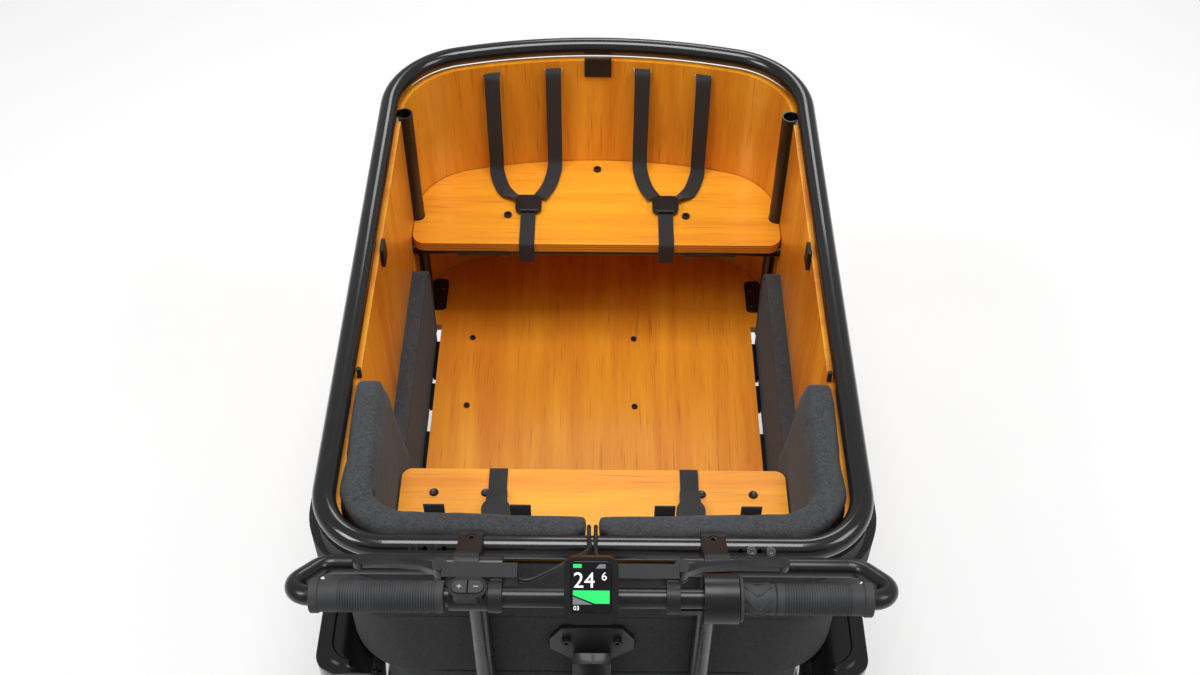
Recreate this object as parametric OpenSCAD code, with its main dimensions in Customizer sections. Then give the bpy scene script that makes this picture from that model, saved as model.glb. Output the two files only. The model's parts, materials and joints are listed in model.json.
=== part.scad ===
// Three-wheeled cargo bicycle: a felt and plywood child box on two front wheels,
// steered as one piece by a handlebar on its rim, pushed by a rear frame.
// Row frame: +Y is forward, +X is the rider's right, the ground is z = 0.

/* [Wheels] */
// Diameter of the front wheels over the tyre
front_wheel_d = 508; // [470:1:530]
// Diameter of the rear wheel over the tyre
rear_wheel_d = 660; // [600:1:700]
// Width of every tyre
tyre_w = 50; // [40:1:54]
// Distance between the two front tyre centres
track_w = 656; // [650:1:680]
// Front axle, measured forward from the rim's rear tube
front_axle_y = 300; // [290:5:330]
// Rear axle, measured back from the rim's rear tube
rear_axle_back = 860; // [840:5:960]

/* [Rim tube] */
// Height of the rim tube's centre line
rim_h = 820; // [760:1:960]
// Width of the rim between tube centres
rim_w = 647; // [640:1:680]
// Length of the rim between tube centres
rim_l = 963; // [900:1:1100]
// Outer diameter of the rim tube
rim_d = 28.6; // [25:0.1:32]
// Wall of the rim tube and the handlebar
tube_t = 2; // [1.5:0.1:3]
// Centre-line radius of the rim's rear corners
rear_corner_r = 80; // [70:1:100]
// Centre-line radius of the rim's front corners
front_corner_r = 130; // [110:1:150]
// Centre-line radius of the bowed front
bow_r = 900; // [800:10:1400]
// Half the length of the separate middle piece of the rear tube
rear_piece_half = 112; // [100:1:120]

/* [Box] */
// Height of the floor's top face
floor_h = 375; // [365:1:400]
// Width of the floor between the low side walls
floor_w = 546; // [500:1:550]
// Thickness of the floor
floor_t = 15; // [12:1:18]
// Height of the ledges over the wheels
ledge_h = 545; // [540:1:560]
// Distance between the low side walls
low_w = 564; // [560:1:570]
// Thickness of the felt boards of the low walls and ledges
board_t = 8; // [6:1:9]
// Thickness of the bent plywood
ply_t = 12; // [9:1:15]
// Thickness of the felt skin on the plywood
skin_t = 4; // [3:1:6]
// Outer width over the felt skin
shell_w = 643.4; // [640:0.1:660]
// Outer face of the rear wall, behind the rim's rear tube
shell_back = 13; // [10:1:20]
// Height of the padded band under the rim
band_h = 120; // [90:1:140]
// How far the padded band stands out at the sides
band_out = 28; // [15:1:30]
// Diameter of the upright posts
post_d = 25.4; // [22:0.1:28]
// Distance between the front posts
front_post_w = 602; // [590:1:604]
// Front posts, forward of the rim's rear tube
front_post_y = 801; // [780:1:806]
// Distance between the rear posts
rear_post_w = 274; // [240:1:300]

/* [Seats] */
// Height of the front bench's top
front_seat_h = 592; // [580:1:620]
// Rear edge of the front bench
front_seat_y = 735; // [700:1:760]
// Height of the rear bench's top
rear_seat_h = 650; // [620:1:680]
// Front edge of the rear bench
rear_seat_y = 236; // [220:1:280]
// Thickness of both benches
seat_t = 18; // [15:1:21]
// Front face of the backrest
backrest_y = 50; // [40:1:60]
// Height of the padding above the rim's centre line
pad_up = 14; // [5:1:20]
// Width of an armrest
armrest_w = 37; // [30:1:45]
// Length of an armrest along its top
armrest_y = 240; // [200:1:270]
// Width of the harness webbing
web_w = 25; // [20:1:30]
// Thickness of the harness webbing
web_t = 2.2; // [1.5:0.1:3]

/* [Handlebar] */
// Outer diameter of the handlebar
bar_d = 22.2; // [22:0.1:25.4]
// Overall width between tube centres
bar_w = 650; // [600:1:655]
// Rear bar: distance behind the rim's rear tube
bar_y = 104; // [95:1:140]
// Rear bar: height over the rim's centre line
bar_up = 62; // [55:1:80]
// Front bar: distance behind the rim's rear tube
stay_y = 48; // [45:1:60]
// Front bar: height over the rim's centre line
stay_up = 37; // [34:1:40]
// Half the distance between the inner ends of the front bar
stay_in = 100; // [90:1:120]
// Distance between the two handlebar brackets
bracket_w = 280; // [270:1:300]
// Diameter of the grips
grip_d = 35; // [32:0.5:36]
// Length of the left grip
grip_l = 146; // [120:1:150]
// Throw of the brake levers in degrees
lever_throw = 8; // [5:1:9]

/* [Steering pivot and rear frame] */
// Steering pivot, forward of the rim's rear tube
pivot_y = 200; // [190:1:220]
// Diameter of the steering pin
pin_d = 28; // [25:0.5:30]
// Height of the bottom bracket
crank_h = 290; // [280:1:310]
// Bottom bracket, behind the rim's rear tube
crank_back = 400; // [390:1:420]
// Crank length between centres
crank_l = 165; // [150:1:170]
// Teeth of the front belt pulley
front_teeth = 42; // [38:1:46]
// Teeth of the rear belt pulley
rear_teeth = 22; // [20:1:28]
// Diameter of the seat post
seatpost_d = 27.2; // [25.4:0.1:31.6]
// Height of the saddle's top
saddle_h = 960; // [900:1:1000]

/* [Hidden] */
$fn = 48;

// gaps and clearances
seat_gap = 0.3;     // pieces that rest against each other
run = 0.05;         // radial clearance of a shaft in its bore
slit = 0.4;         // gap between cushions
weld = 0.05;        // hairline between welded tube pieces

// accessory bolts and spare holes in the rim's rear tube
rim_bolt_a = 42;
rim_bolt_x = [184, 206.5];
rim_hole_x = [171.5, 193.6];
rim_hole_d = 5.2;

// lashing holes in the plates at the feet of the front posts
plate_hole_x = front_post_w / 2 - 24;
plate_hole_y = [front_post_y - 2, front_post_y + 34];
plate_hole_d = 6.5;

// colours
black = "#1c1c1e";
felt = "#5a5b5e";
wood = "#f0a030";
steel = "#b8babd";
rubber = "#2a2a2a";

// plan of the box
hw = rim_w / 2;
corner_y = rim_l - bow_r + sqrt(pow(bow_r - front_corner_r, 2) - pow(hw - front_corner_r, 2));
bow_a = atan2(hw - front_corner_r, corner_y - rim_l + bow_r);
shell_hw = shell_w / 2;
wall_hw = shell_hw - skin_t - seat_gap;          // outer face of the bent plywood
seat_hw = wall_hw - ply_t;                       // inner face of the bent plywood
low_hw = low_w / 2;
shell_r = 92;                                    // rear corners of the plywood shell
low_r = 100;                                     // rear corners of the low walls
panel_in = hw - wall_hw;                         // front panel's outer face inside the rim line
band_low = rim_h - 16 - band_h;
wall_top = rim_h - rim_d / 2 - 1.2;
front_x = front_post_w / 2;
rear_x = rear_post_w / 2;
split_y = front_post_y + post_d / 2 + 1;         // the front panel starts here
wall_end_y = front_post_y - post_d / 2 - 1;      // the side walls stop here
ledge_end_y = front_post_y - 51;                 // the ledge has come down to the floor here
nose_r = 58;                                     // round front end of the ledge

// levels of the under-floor frame
cross_h = floor_h - floor_t;                     // top of the cross members
cross_t = 15;
rail_h = cross_h - cross_t;                      // top of the long rails
rail_t = 25;
arm_t = 8;
arm_top = rail_h - rail_t;                       // top of the upper pivot arm
arm_low = arm_top - 144;                         // bottom of the lower pivot arm
bearing_t = 7.8;
front_axle_h = front_wheel_d / 2;
wheel_x = track_w / 2;
axle_d = 12;

// rear frame
rear_axle_h = rear_wheel_d / 2;
beam_h = (arm_top - arm_t + arm_low + arm_t) / 2;
tube_r = 25;
seat_tilt = 20;
seat_tube_l = 450;
seat_tube_d = 34;
drop_x = 70;
pulley_x = 46;
pulley_t = 8;
pitch = 11;
front_pulley_r = front_teeth * pitch / (2 * PI);
rear_pulley_r = rear_teeth * pitch / (2 * PI);
guard_r = rear_wheel_d / 2 + 11;
guard_t = 3;
spindle_d = 9;
crank_axle_d = 19;
crank_x = 72;
pedal_x = 96;
pedal_w = 92;

// seats
seat_axis_y = 100;
seat_axis_h = rear_seat_h - seat_t - 10;
seat_rod_d = 18;
rear_seat_hw = 262;
arm_in = seat_hw - seat_gap - armrest_w;         // inner face of the armrests
pad_corner_r = 40;                               // inner corners of the padding
pad_top = rim_h + pad_up;

// handlebar
bar_z = rim_h + bar_up;
stay_z = rim_h + stay_up;
bend_1 = 20;
bend_2 = 25;
bend_a = 125;
bar_gap = norm([bar_y - stay_y, bar_up - stay_up]);
bar_tilt = atan2(bar_up - stay_up, bar_y - stay_y);
bar_straight = bar_w / 2 - bend_1;
diag_l = (bar_gap - bend_1 * (1 - cos(bend_a)) - bend_2 * (1 - cos(180 - bend_a))) / sin(bend_a);
stay_l = bar_straight + bend_1 * sin(bend_a) + diag_l * cos(bend_a) - bend_2 * sin(bend_a) - stay_in;
grip_in = bar_straight - grip_l;
shift_x = grip_in - 38;                          // inner face of the shifter housing
twist_l = 40;
lever_y = -bar_y + 36;
lever_z = bar_z - 3;
lever_slot = 8.5;                                // half the gap between the plates that hold a lever
lever_pin_d = 6;
brake_l = 86;                                    // brake body's inner end, from the lever's pivot
lever_x = grip_in + 8;                           // pivot of the left lever
lever_right_x = shift_x - 22;                    // pivot of the right lever
remote_x = grip_in - 24;
display_tilt = 42;

// the row's origin is under the middle of the whole length
lamp_l = 30;
front_reach = rim_l - panel_in + seat_gap + lamp_l;
rear_reach = rear_axle_back + guard_r + guard_t;
rim_y = (rear_reach - front_reach) / 2;

// boards, screws and slots
cross_rows = [[686, 76], [604, 48], [490, 68], [300, 60], [60, 50]];  // middle and width of each member
screw_x = [-216, 66];
screw_y = [567, 719];
slot_x = [-172.5, -73, 73, 172.5];
front_bolts = [[-149, 802], [149, 802], [0, 918]];
hose_y = 18;                                     // brake hoses behind the backrest
guard_hw = 367;                                  // outer edge of the front mudguards

// harness
web_z = front_seat_h + seat_gap;
buckle_p = [115, 822];

// rear frame lines
seat_dir = [0, -sin(seat_tilt), cos(seat_tilt)];
bb = [0, -crank_back, crank_h];
seat_top = bb + seat_dir * seat_tube_l;
saddle_t = 50;
post_head = seat_top + seat_dir * (saddle_h - saddle_t - 20 - seat_top[2]) / cos(seat_tilt);
brace_low = [0, -190, beam_h + 27];
brace_high = bb + seat_dir * (seat_tube_l * 0.78);
brace_a = atan2(brace_high[2] - brace_low[2], brace_low[1] - brace_high[1]);
stay_bridge = bb + seat_dir * (seat_tube_l - 26) + [0, -30, -14];
guard_w = 62;
battery_l = 330;
disc_t = 2;
rear_disc_x = -52;
front_hub_l = 46;
front_disc_x = -30;                              // from the tyre's middle, on the right wheel
caliper_in = wheel_x + front_disc_x - 16;        // inboard face of the front calipers

// ---- helpers ----
module place(y = 0, z = 0, x = 0) {
  translate([x, rim_y + y, z]) children();
}

module both() {
  children();
  mirror([1, 0, 0]) children();
}

// round bar from one point to another
module rod(a, b, d) {
  v = b - a;
  translate(a)
    rotate([0, acos(v[2] / norm(v)), atan2(v[1], v[0])])
      cylinder(h = norm(v), d = d);
}

module x_rod(x0, x1, d) {
  translate([x0, 0, 0]) rotate([0, 90, 0]) cylinder(h = x1 - x0, d = d);
}

// quarter or part of a bent tube, starting along +X from the origin, curving towards +Y
module bend(r, a, d) {
  translate([0, r, 0]) rotate([0, 0, -90]) rotate_extrude(angle = a) translate([r, 0]) circle(d = d);
}

// block with rounded upright edges
module slab(w, l, t, r) {
  linear_extrude(t) rounded(w, l, r);
}

module rounded(w, l, r) {
  square([w - 2 * r, l], center = true);
  square([w, l - 2 * r], center = true);
  for (x = [-1, 1], y = [-1, 1]) translate([x * (w / 2 - r), y * (l / 2 - r)]) circle(r);
}

// extrude a shape drawn in Y and Z along +X
module along_x(x0, t) {
  translate([x0, 0, 0]) rotate([90, 0, 90]) linear_extrude(t) children();
}

// plan of the rim line, moved in by i
module rim_plan(i) {
  w = hw - i;
  fr = front_corner_r - i;
  rr = rear_corner_r - i;
  by = rim_l - bow_r;
  cx = hw - front_corner_r;
  translate([-w, i + rr]) square([2 * w, corner_y - i - rr]);
  translate([-w + rr, i]) square([2 * (w - rr), corner_y - i]);
  for (x = [-1, 1]) {
    translate([x * (w - rr), i + rr]) circle(rr, $fn = 96);
    translate([x * cx, corner_y]) circle(fr, $fn = 96);
  }
  intersection() {
    translate([0, by]) circle(bow_r - i, $fn = 360);
    polygon([[0, by], [bow_r * tan(bow_a), by + bow_r], [-bow_r * tan(bow_a), by + bow_r]]);
  }
}

// plan of a wall open to the front: half-width, rear face, corner radius, front end
module u_plan(w, back, r, front) {
  translate([-w, back + r]) square([2 * w, front - back - r]);
  translate([-w + r, back]) square([2 * (w - r), r + 1]);
  for (x = [-1, 1]) translate([x * (w - r), back + r]) circle(r, $fn = 96);
}

module u_wall(w, back, r, front, t) {
  difference() {
    u_plan(w, back, r, front);
    u_plan(w - t, back + t, r - t, front + 1);
  }
}

// inner face of the front panel at a distance from the middle
function panel_y(x) = rim_l - bow_r + sqrt(pow(bow_r - panel_in - ply_t, 2) - x * x);

// closed outline of a belt round two pulleys, grown by g
module belt_loop(g) {
  r1 = front_pulley_r + g;
  r2 = rear_pulley_r + g;
  dy = rear_axle_back - crank_back;
  dz = rear_axle_h - crank_h;
  c = norm([dy, dz]);
  b = asin((r1 - r2) / c);
  rotate(atan2(dz, -dy)) {
    circle(r1, $fn = 96);
    translate([c, 0]) circle(r2, $fn = 96);
    polygon([
      [r1 * sin(b), r1 * cos(b)], [c + r2 * sin(b), r2 * cos(b)],
      [c + r2 * sin(b), -r2 * cos(b)], [r1 * sin(b), -r1 * cos(b)]
    ]);
  }
}

// toothed pulley, flat, with a bore and windows
module pulley(teeth, r, bore, windows) {
  step = 360 / teeth;
  depth = 3;
  difference() {
    polygon([for (i = [0 : teeth - 1], p = [[-0.30, -depth], [-0.18, 0], [0.18, 0], [0.30, -depth]])
      let (a = (i + p[0]) * step) (r + p[1]) * [cos(a), sin(a)]]);
    circle(d = bore);
    if (windows > 0)
      for (i = [0 : windows - 1]) rotate(i * 360 / windows) translate([r * 0.56, 0]) circle(r * 0.22);
  }
}

// smooth sweep of a round section along hand-set points
function mid(p, i, t) =
  let (n = len(p) - 1, a = p[max(i - 1, 0)], b = p[i], c = p[i + 1], d = p[min(i + 2, n)])
  0.5 * ((2 * b) + (c - a) * t + (2 * a - 5 * b + 4 * c - d) * t * t + (3 * b - a - 3 * c + d) * t * t * t);
function smooth(p, n) = concat([for (i = [0 : len(p) - 2], k = [0 : n - 1]) mid(p, i, k / n)], [p[len(p) - 1]]);
function unit(v) = v / norm(v);
function heading(p, i) = unit(p[min(i + 1, len(p) - 1)] - p[max(i - 1, 0)]);
function side(p, i) =
  i == 0 ? let (h = heading(p, 0), u = abs(h[0]) < 0.7 ? [1, 0, 0] : [0, 0, 1]) unit(u - (u * h) * h)
         : let (h = heading(p, i), s = side(p, i - 1)) unit(s - (s * h) * h);

module cord(points, d, n = 4, sides = 8) {
  p = smooth(points, n);
  rings = len(p);
  ring_points = [for (i = [0 : rings - 1]) let (h = heading(p, i), s = side(p, i), u = cross(h, s))
    for (k = [0 : sides - 1]) p[i] + d / 2 * (s * cos(360 * k / sides) + u * sin(360 * k / sides))];
  faces = concat(
    [[for (k = [0 : sides - 1]) k]],
    [for (i = [0 : rings - 2], k = [0 : sides - 1])
      [i * sides + k, (i + 1) * sides + k, (i + 1) * sides + (k + 1) % sides, i * sides + (k + 1) % sides]],
    [[for (k = [sides - 1 : -1 : 0]) (rings - 1) * sides + k]]
  );
  polyhedron(ring_points, faces, convexity = 6);
}

// ---- rear frame ----
module main_frame() color(black) place() {
  head_low = arm_low + arm_t + bearing_t + 2 * seat_gap;
  head_l = arm_top - arm_t - arm_low - arm_t - 2 * bearing_t - 4 * seat_gap;
  difference() {
    union() {
      translate([0, pivot_y, head_low]) cylinder(h = head_l, d = pin_d + 26);
      rod([0, pivot_y, beam_h], bb + [0, 66, 0], 2 * tube_r);
      rod(brace_low, brace_high, 34);
      rod(bb + seat_dir * 62, seat_top, seat_tube_d);
    }
    translate([0, pivot_y, head_low - 1]) cylinder(h = head_l + 2, d = pin_d + 3);
    translate(seat_top - seat_dir * 280) rod([0, 0, 0], seat_dir * 290, seatpost_d + 2 * run);
    translate(bb) x_rod(-60, 60, 130.6);
  }
}

module rear_stays() color(black) place() {
  axle = [0, -rear_axle_back, rear_axle_h];
  difference() {
    union() {
      both() {
        rod([28, -crank_back - 30, crank_h + 8], axle + [drop_x + 6, 30, 0], 20);
        rod([38, stay_bridge[1], stay_bridge[2]], axle + [drop_x + 6, 22, 22], 16);
        along_x(drop_x, 7) translate([-rear_axle_back, rear_axle_h]) {
          circle(24);
          polygon([[0, -14], [60, -12], [60, 12], [44, 60], [24, 52], [0, 20]]);
        }
      }
      // tab that carries the caliper
      along_x(-drop_x - 7, 7) translate([-rear_axle_back, rear_axle_h])
        polygon([[-18, 10], [30, 20], [24, 52], [-14, 92], [-54, 72], [-44, 40]]);
      translate(stay_bridge) x_rod(-40, 40, 16);
      rod(stay_bridge, stay_bridge + [0, 34, 10], 14);
    }
    translate(axle) x_rod(-120, 120, axle_d + 2 * run);
    translate(bb) x_rod(-60, 60, 130.6);
    rod(bb, seat_top + seat_dir * 20, seat_tube_d + 2 * seat_gap);
  }
}

module pivot_bearings() color(steel) place(pivot_y)
  for (z = [arm_low + arm_t + seat_gap, arm_top - arm_t - bearing_t - seat_gap]) translate([0, 0, z])
    difference() {
      cylinder(h = bearing_t, d = pin_d + 22);
      translate([0, 0, -1]) cylinder(h = bearing_t + 2, d = pin_d + 2 * run);
    }

module motor_unit() color("#2b2c2e") place(-crank_back, crank_h)
  difference() {
    union() {
      x_rod(-40, 40, 130);
      x_rod(-46, 42, 96);
    }
    x_rod(-50, 50, crank_axle_d + 2 * run);
  }

module battery_pack() color("#232426") place() translate(brace_low)
  rotate([180 - brace_a - 90, 0, 0]) translate([0, 17 + seat_gap + 38, 44])
    slab(90, 76, battery_l, 16);

module belt() color(rubber) place(-crank_back, crank_h) along_x(pulley_x - 1, pulley_t + 2)
  difference() {
    belt_loop(4.3);
    belt_loop(seat_gap);
  }

// arc of a flat band round the X axis, from polar angle a0 to a1, measured from +Y
module guard_arc(r, t, w, a0, a1) {
  rotate([90, 0, 90]) rotate([0, 0, a0]) rotate_extrude(angle = a1 - a0, $fn = 96)
    translate([r, -w / 2]) square([t, w]);
}

module rear_mudguard() color(black) place(-rear_axle_back, rear_axle_h) {
  reach = norm([stay_bridge[1] + rear_axle_back, stay_bridge[2] - rear_axle_h]);
  a = atan2(stay_bridge[2] - rear_axle_h, stay_bridge[1] + rear_axle_back);
  guard_arc(guard_r, guard_t, guard_w, 25, 188);
  rotate([a, 0, 0]) translate([-8, guard_r + 1, -2]) cube([16, reach - guard_r - 9 - seat_gap, 4]);
  both() {
    rod([guard_w / 2 - 2, (guard_r + 1.5) * cos(150), (guard_r + 1.5) * sin(150)],
        [drop_x + 7 + seat_gap + 6, -14, 10], 5);
    translate([0, -14, 10]) x_rod(drop_x + 7 + seat_gap, drop_x + 7 + seat_gap + 9, 10);
  }
}

module rear_light() color("#b01818") place(-rear_axle_back, rear_axle_h)
  rotate([150, 0, 0]) translate([0, guard_r + guard_t + seat_gap, 0]) rotate([-90, 0, 0]) slab(50, 34, 22, 8);

module rear_caliper() color(black) place(-rear_axle_back, rear_axle_h)
  caliper(rear_disc_x + disc_t / 2, 118, -drop_x + seat_gap, rear_disc_x + 12);

module rear_axle() color(steel) place(-rear_axle_back, rear_axle_h) {
  x_rod(-90, 90, axle_d);
  both() x_rod(drop_x + 7 + seat_gap, drop_x + 7 + seat_gap + 10, 20);
}

module seat_clamp() color(steel) place() translate(seat_top - seat_dir * 12) rotate([seat_tilt, 0, 0])
  difference() {
    union() {
      cylinder(h = 18, d = seat_tube_d + 8);
      translate([-9, -30, 2]) cube([18, 18, 14]);
    }
    translate([0, 0, -1]) cylinder(h = 13 + seat_gap, d = seat_tube_d + 2 * seat_gap);
    translate([0, 0, -1]) cylinder(h = 20, d = seatpost_d + 2 * run);
    translate([-1, -40, -1]) cube([2, 40, 20]);
  }

// two-pad brake caliper from x0 to x1 round a disc whose middle is at x, at polar angle a
module caliper(x, a, x0, x1) {
  rotate([a, 0, 0]) translate([0, 72, 0]) difference() {
    translate([x0, -20, -24]) cube([x1 - x0, 40, 48]);
    translate([x - 2.5, -30, -30]) cube([5, 40, 60]);
  }
}

module seatpost() color(black) place() {
  rod(seat_top - seat_dir * 180, post_head, seatpost_d);
  translate(post_head) {
    x_rod(-26, 26, 26);
    both() rod([22, -62, 11], [22, 62, 16], 7);
  }
}

module saddle() color("#202022") place(post_head[1], saddle_h - saddle_t + seat_gap) {
  linear_extrude(saddle_t - 16) saddle_plan(0);
  translate([0, 0, saddle_t - 16]) linear_extrude(16 - seat_gap) saddle_plan(9);
}

module saddle_plan(g) {
  for (x = [-48, 48]) translate([x, -80]) circle(42 - g);
  translate([0, 130]) circle(22 - g);
  polygon([[-88 + g, -68], [-24 + g, 128], [24 - g, 128], [88 - g, -68], [48, -122 + g], [-48, -122 + g]]);
}

// ---- drive ----
module crank_arm(x) {
  along_x(x, 14) {
    circle(19);
    translate([crank_l, 0]) circle(13);
    polygon([[0, 15], [crank_l, 11], [crank_l, -11], [0, -15]]);
  }
}

module crank_set() color(black) place(-crank_back, crank_h) {
  x_rod(-crank_x - 6, crank_x + 6, crank_axle_d);
  crank_arm(crank_x);
  translate([crank_x + 7, crank_l, 0]) x_rod(0, pedal_x + pedal_w - crank_x - 4, spindle_d);
  rotate([180, 0, 0]) {
    crank_arm(-crank_x - 14);
    translate([-crank_x - 7, crank_l, 0]) x_rod(-(pedal_x + pedal_w - crank_x - 4), 0, spindle_d);
  }
  x_rod(pulley_x + pulley_t + seat_gap, crank_x + 1, 44);
}

module front_pulley() color(steel) place(-crank_back, crank_h) along_x(pulley_x, pulley_t)
  pulley(front_teeth, front_pulley_r, crank_axle_d + 2 * run, 5);

module rear_pulley() color(steel) place(-rear_axle_back, rear_axle_h) along_x(pulley_x, pulley_t)
  pulley(rear_teeth, rear_pulley_r, axle_d + 2 * run, 0);

module pedal() {
  difference() {
    union() {
      translate([-pedal_w / 2, -32, -8]) cube([pedal_w, 64, 16]);
      x_rod(-pedal_w / 2, pedal_w / 2, 22);
    }
    x_rod(-pedal_w / 2 - 1, pedal_w / 2 + 1, spindle_d + 2 * run);
    for (y = [-21, 21]) translate([-34, y - 7, -10]) cube([68, 14, 20]);
  }
}

module pedal_right() color(black) place(-crank_back + crank_l, crank_h, pedal_x + pedal_w / 2) pedal();
module pedal_left() color(black) place(-crank_back - crank_l, crank_h, -pedal_x - pedal_w / 2) pedal();

// ---- wheels, drawn round the X axis ----
module tyre(d) {
  r = d / 2 - tyre_w / 2;
  rotate([0, 90, 0]) rotate_extrude($fn = 96) difference() {
    translate([r, 0]) circle(tyre_w / 2);
    translate([r, 0]) circle(tyre_w / 2 - 4);
    translate([r - tyre_w, -tyre_w]) square([tyre_w - 20, 2 * tyre_w]);
  }
}

module wheel(d, hub_l, disc_x, spokes) {
  bed_r = d / 2 - tyre_w / 2 - 20 - seat_gap;
  bed_w = 28;
  flange_x = hub_l / 2 - 6;
  rotate([0, 90, 0]) rotate_extrude($fn = 96)
    polygon([
      [bed_r - 18, -bed_w / 2], [bed_r, -bed_w / 2], [bed_r, -bed_w / 2 + 3], [bed_r - 14, -bed_w / 2 + 4],
      [bed_r - 14, bed_w / 2 - 4], [bed_r, bed_w / 2 - 3], [bed_r, bed_w / 2], [bed_r - 18, bed_w / 2]
    ]);
  difference() {
    union() {
      x_rod(disc_x, hub_l / 2, 34);
      for (s = [-1, 1]) translate([s * flange_x, 0, 0]) x_rod(-1.75, 1.75, 60);
      for (i = [0 : spokes - 1]) {
        s = i % 2 == 0 ? 1 : -1;
        a = i * 360 / spokes;
        rod([s * flange_x, 26 * cos(a + s * 40), 26 * sin(a + s * 40)],
            [s * 4, (bed_r - 18 - seat_gap) * cos(a), (bed_r - 18 - seat_gap) * sin(a)], 2.4);
      }
    }
    x_rod(-hub_l, hub_l, axle_d + 2 * run);
  }
  // brake disc with its spider
  translate([disc_x, 0, 0]) rotate([0, 90, 0]) linear_extrude(disc_t) difference() {
    circle(80, $fn = 96);
    difference() {
      circle(63, $fn = 96);
      circle(26);
      for (i = [0 : 5]) rotate(i * 60) translate([20, -5]) square([50, 10]);
    }
    circle(d = 28);
  }
}

module rear_tyre() color(rubber) place(-rear_axle_back, rear_axle_h) tyre(rear_wheel_d);
module rear_wheel() color(steel) place(-rear_axle_back, rear_axle_h) wheel(rear_wheel_d, 84, rear_disc_x, 28);
module tyre_right() color(rubber) place(front_axle_y, front_axle_h, wheel_x) tyre(front_wheel_d);
module tyre_left() color(rubber) place(front_axle_y, front_axle_h, -wheel_x) tyre(front_wheel_d);
module wheel_right() color(steel) place(front_axle_y, front_axle_h, wheel_x)
  wheel(front_wheel_d, front_hub_l, front_disc_x, 24);
module wheel_left() color(steel) mirror([1, 0, 0]) wheel_right();

// ---- box: tubes ----
module rim_side(d, extra) {
  translate([rear_piece_half - extra, 0, 0]) x_rod(0, hw - rear_corner_r - rear_piece_half + extra, d);
  translate([hw - rear_corner_r, 0, 0]) bend(rear_corner_r, 90, d);
  translate([hw, rear_corner_r, 0]) rotate([-90, 0, 0]) cylinder(h = corner_y - rear_corner_r, d = d);
  translate([hw, corner_y, 0]) rotate([0, 0, 90]) bend(front_corner_r, 90 - bow_a, d);
}

// the bowed front tube, between two hairline weld seams
module rim_bow(d, seam) {
  a = bow_a - seam / bow_r * 180 / PI;
  translate([0, rim_l - bow_r, 0]) rotate([0, 0, 90 - a]) rotate_extrude(angle = 2 * a, $fn = 360)
    translate([bow_r, 0]) circle(d = d);
}

module rim_tube() color(black) place(0, rim_h) {
  both() difference() {
    rim_side(rim_d, 0);
    rim_side(rim_d - 2 * tube_t, 1);
    for (x = rim_hole_x) translate([x, 0, 0]) rotate([rim_bolt_a, 0, 0]) cylinder(h = 30, d = rim_hole_d);
  }
  difference() {
    rim_bow(rim_d, weld);
    rim_bow(rim_d - 2 * tube_t, -1);
  }
  difference() {
    x_rod(-rear_piece_half + weld, rear_piece_half - weld, rim_d);
    x_rod(-rear_piece_half, rear_piece_half, rim_d - 2 * tube_t);
  }
}

module posts_and_crossbars() color(black) place() {
  both() {
    difference() {
      translate([front_x, front_post_y, cross_h + seat_gap])
        cylinder(h = rim_h - 10.6 - cross_h - seat_gap, d = post_d);
      translate([front_x, front_post_y, cross_h + 25]) cylinder(h = rim_h, d = post_d - 2 * tube_t);
      for (z = [rim_h - 42, front_seat_h + 30]) translate([front_x - 30, front_post_y, z]) x_rod(0, 30, 9);
    }
    translate([rear_x, -shell_back - seat_gap - post_d / 2, rail_h + seat_gap])
      cylinder(h = rim_h - 5.8 - rail_h, d = post_d);
    // the plate on the floor that ties each front post
    difference() {
      translate([0, 0, floor_h + seat_gap]) linear_extrude(4) intersection() {
        translate([front_x - 9, front_post_y + 21]) rounded(48, 74, 8);
        rim_plan(panel_in + ply_t + seat_gap);
      }
      for (y = plate_hole_y) translate([plate_hole_x, y, floor_h]) cylinder(h = 10, d = plate_hole_d);
      translate([front_x, front_post_y, floor_h - 1]) cylinder(h = 10, d = post_d + 2 * seat_gap);
    }
  }
  // front crossbar under the front bench, rear crossbar that the rear bench turns on
  translate([0, front_seat_y + 16, front_seat_h - seat_t - 10]) x_rod(-seat_hw + seat_gap, seat_hw - seat_gap, 18);
  translate([0, seat_axis_y, seat_axis_h]) x_rod(-arm_in + seat_gap, arm_in - seat_gap, seat_rod_d);
}

module floor_frame() color(black) place() {
  difference() {
    union() {
      both() translate([187, -shell_back - 26, rail_h - rail_t]) cube([25, front_post_y + 55, rail_t]);
      translate([-212, -shell_back - 26, rail_h - rail_t]) cube([424, 26 - seat_gap, rail_t]);
      translate([0, 0, rail_h]) linear_extrude(cross_t) intersection() {
        inside_low_wall();
        for (c = cross_rows) translate([-low_hw, c[0] - c[1] / 2]) square([low_w, c[1]]);
      }
      translate([-front_x - 12.7, front_post_y - 14, rail_h]) cube([front_post_w + 25.4, 28, cross_t]);
      // pivot arms and the block that joins them to the axle beam
      translate([-212, pivot_y - 40, arm_top - arm_t]) cube([424, 170, arm_t]);
      translate([-40, pivot_y - 35, arm_low]) cube([80, front_axle_y - pivot_y + 55, arm_t]);
      translate([-40, front_axle_y - 20, arm_low]) cube([80, 40, arm_top - arm_low]);
      // axle beam, its hangers and the stub axles
      translate([-272, front_axle_y - 20, front_axle_h - 20]) cube([544, 40, 40]);
      both() translate([196, front_axle_y - 30, front_axle_h]) cube([8, 60, arm_top - front_axle_h]);
      translate([0, front_axle_y, front_axle_h]) x_rod(-wheel_x - 32, wheel_x + 32, axle_d);
      // plates that carry the calipers
      both() along_x(270, caliper_in - seat_gap - 270) translate([front_axle_y, front_axle_h])
        polygon([[-20, -20], [-20, 20], [20, 20], [92, -2], [80, -46], [20, -34]]);
    }
    translate([0, pivot_y, arm_low - 1]) cylinder(h = arm_top - arm_low + 2, d = pin_d + 2 * run);
  }
}

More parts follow.
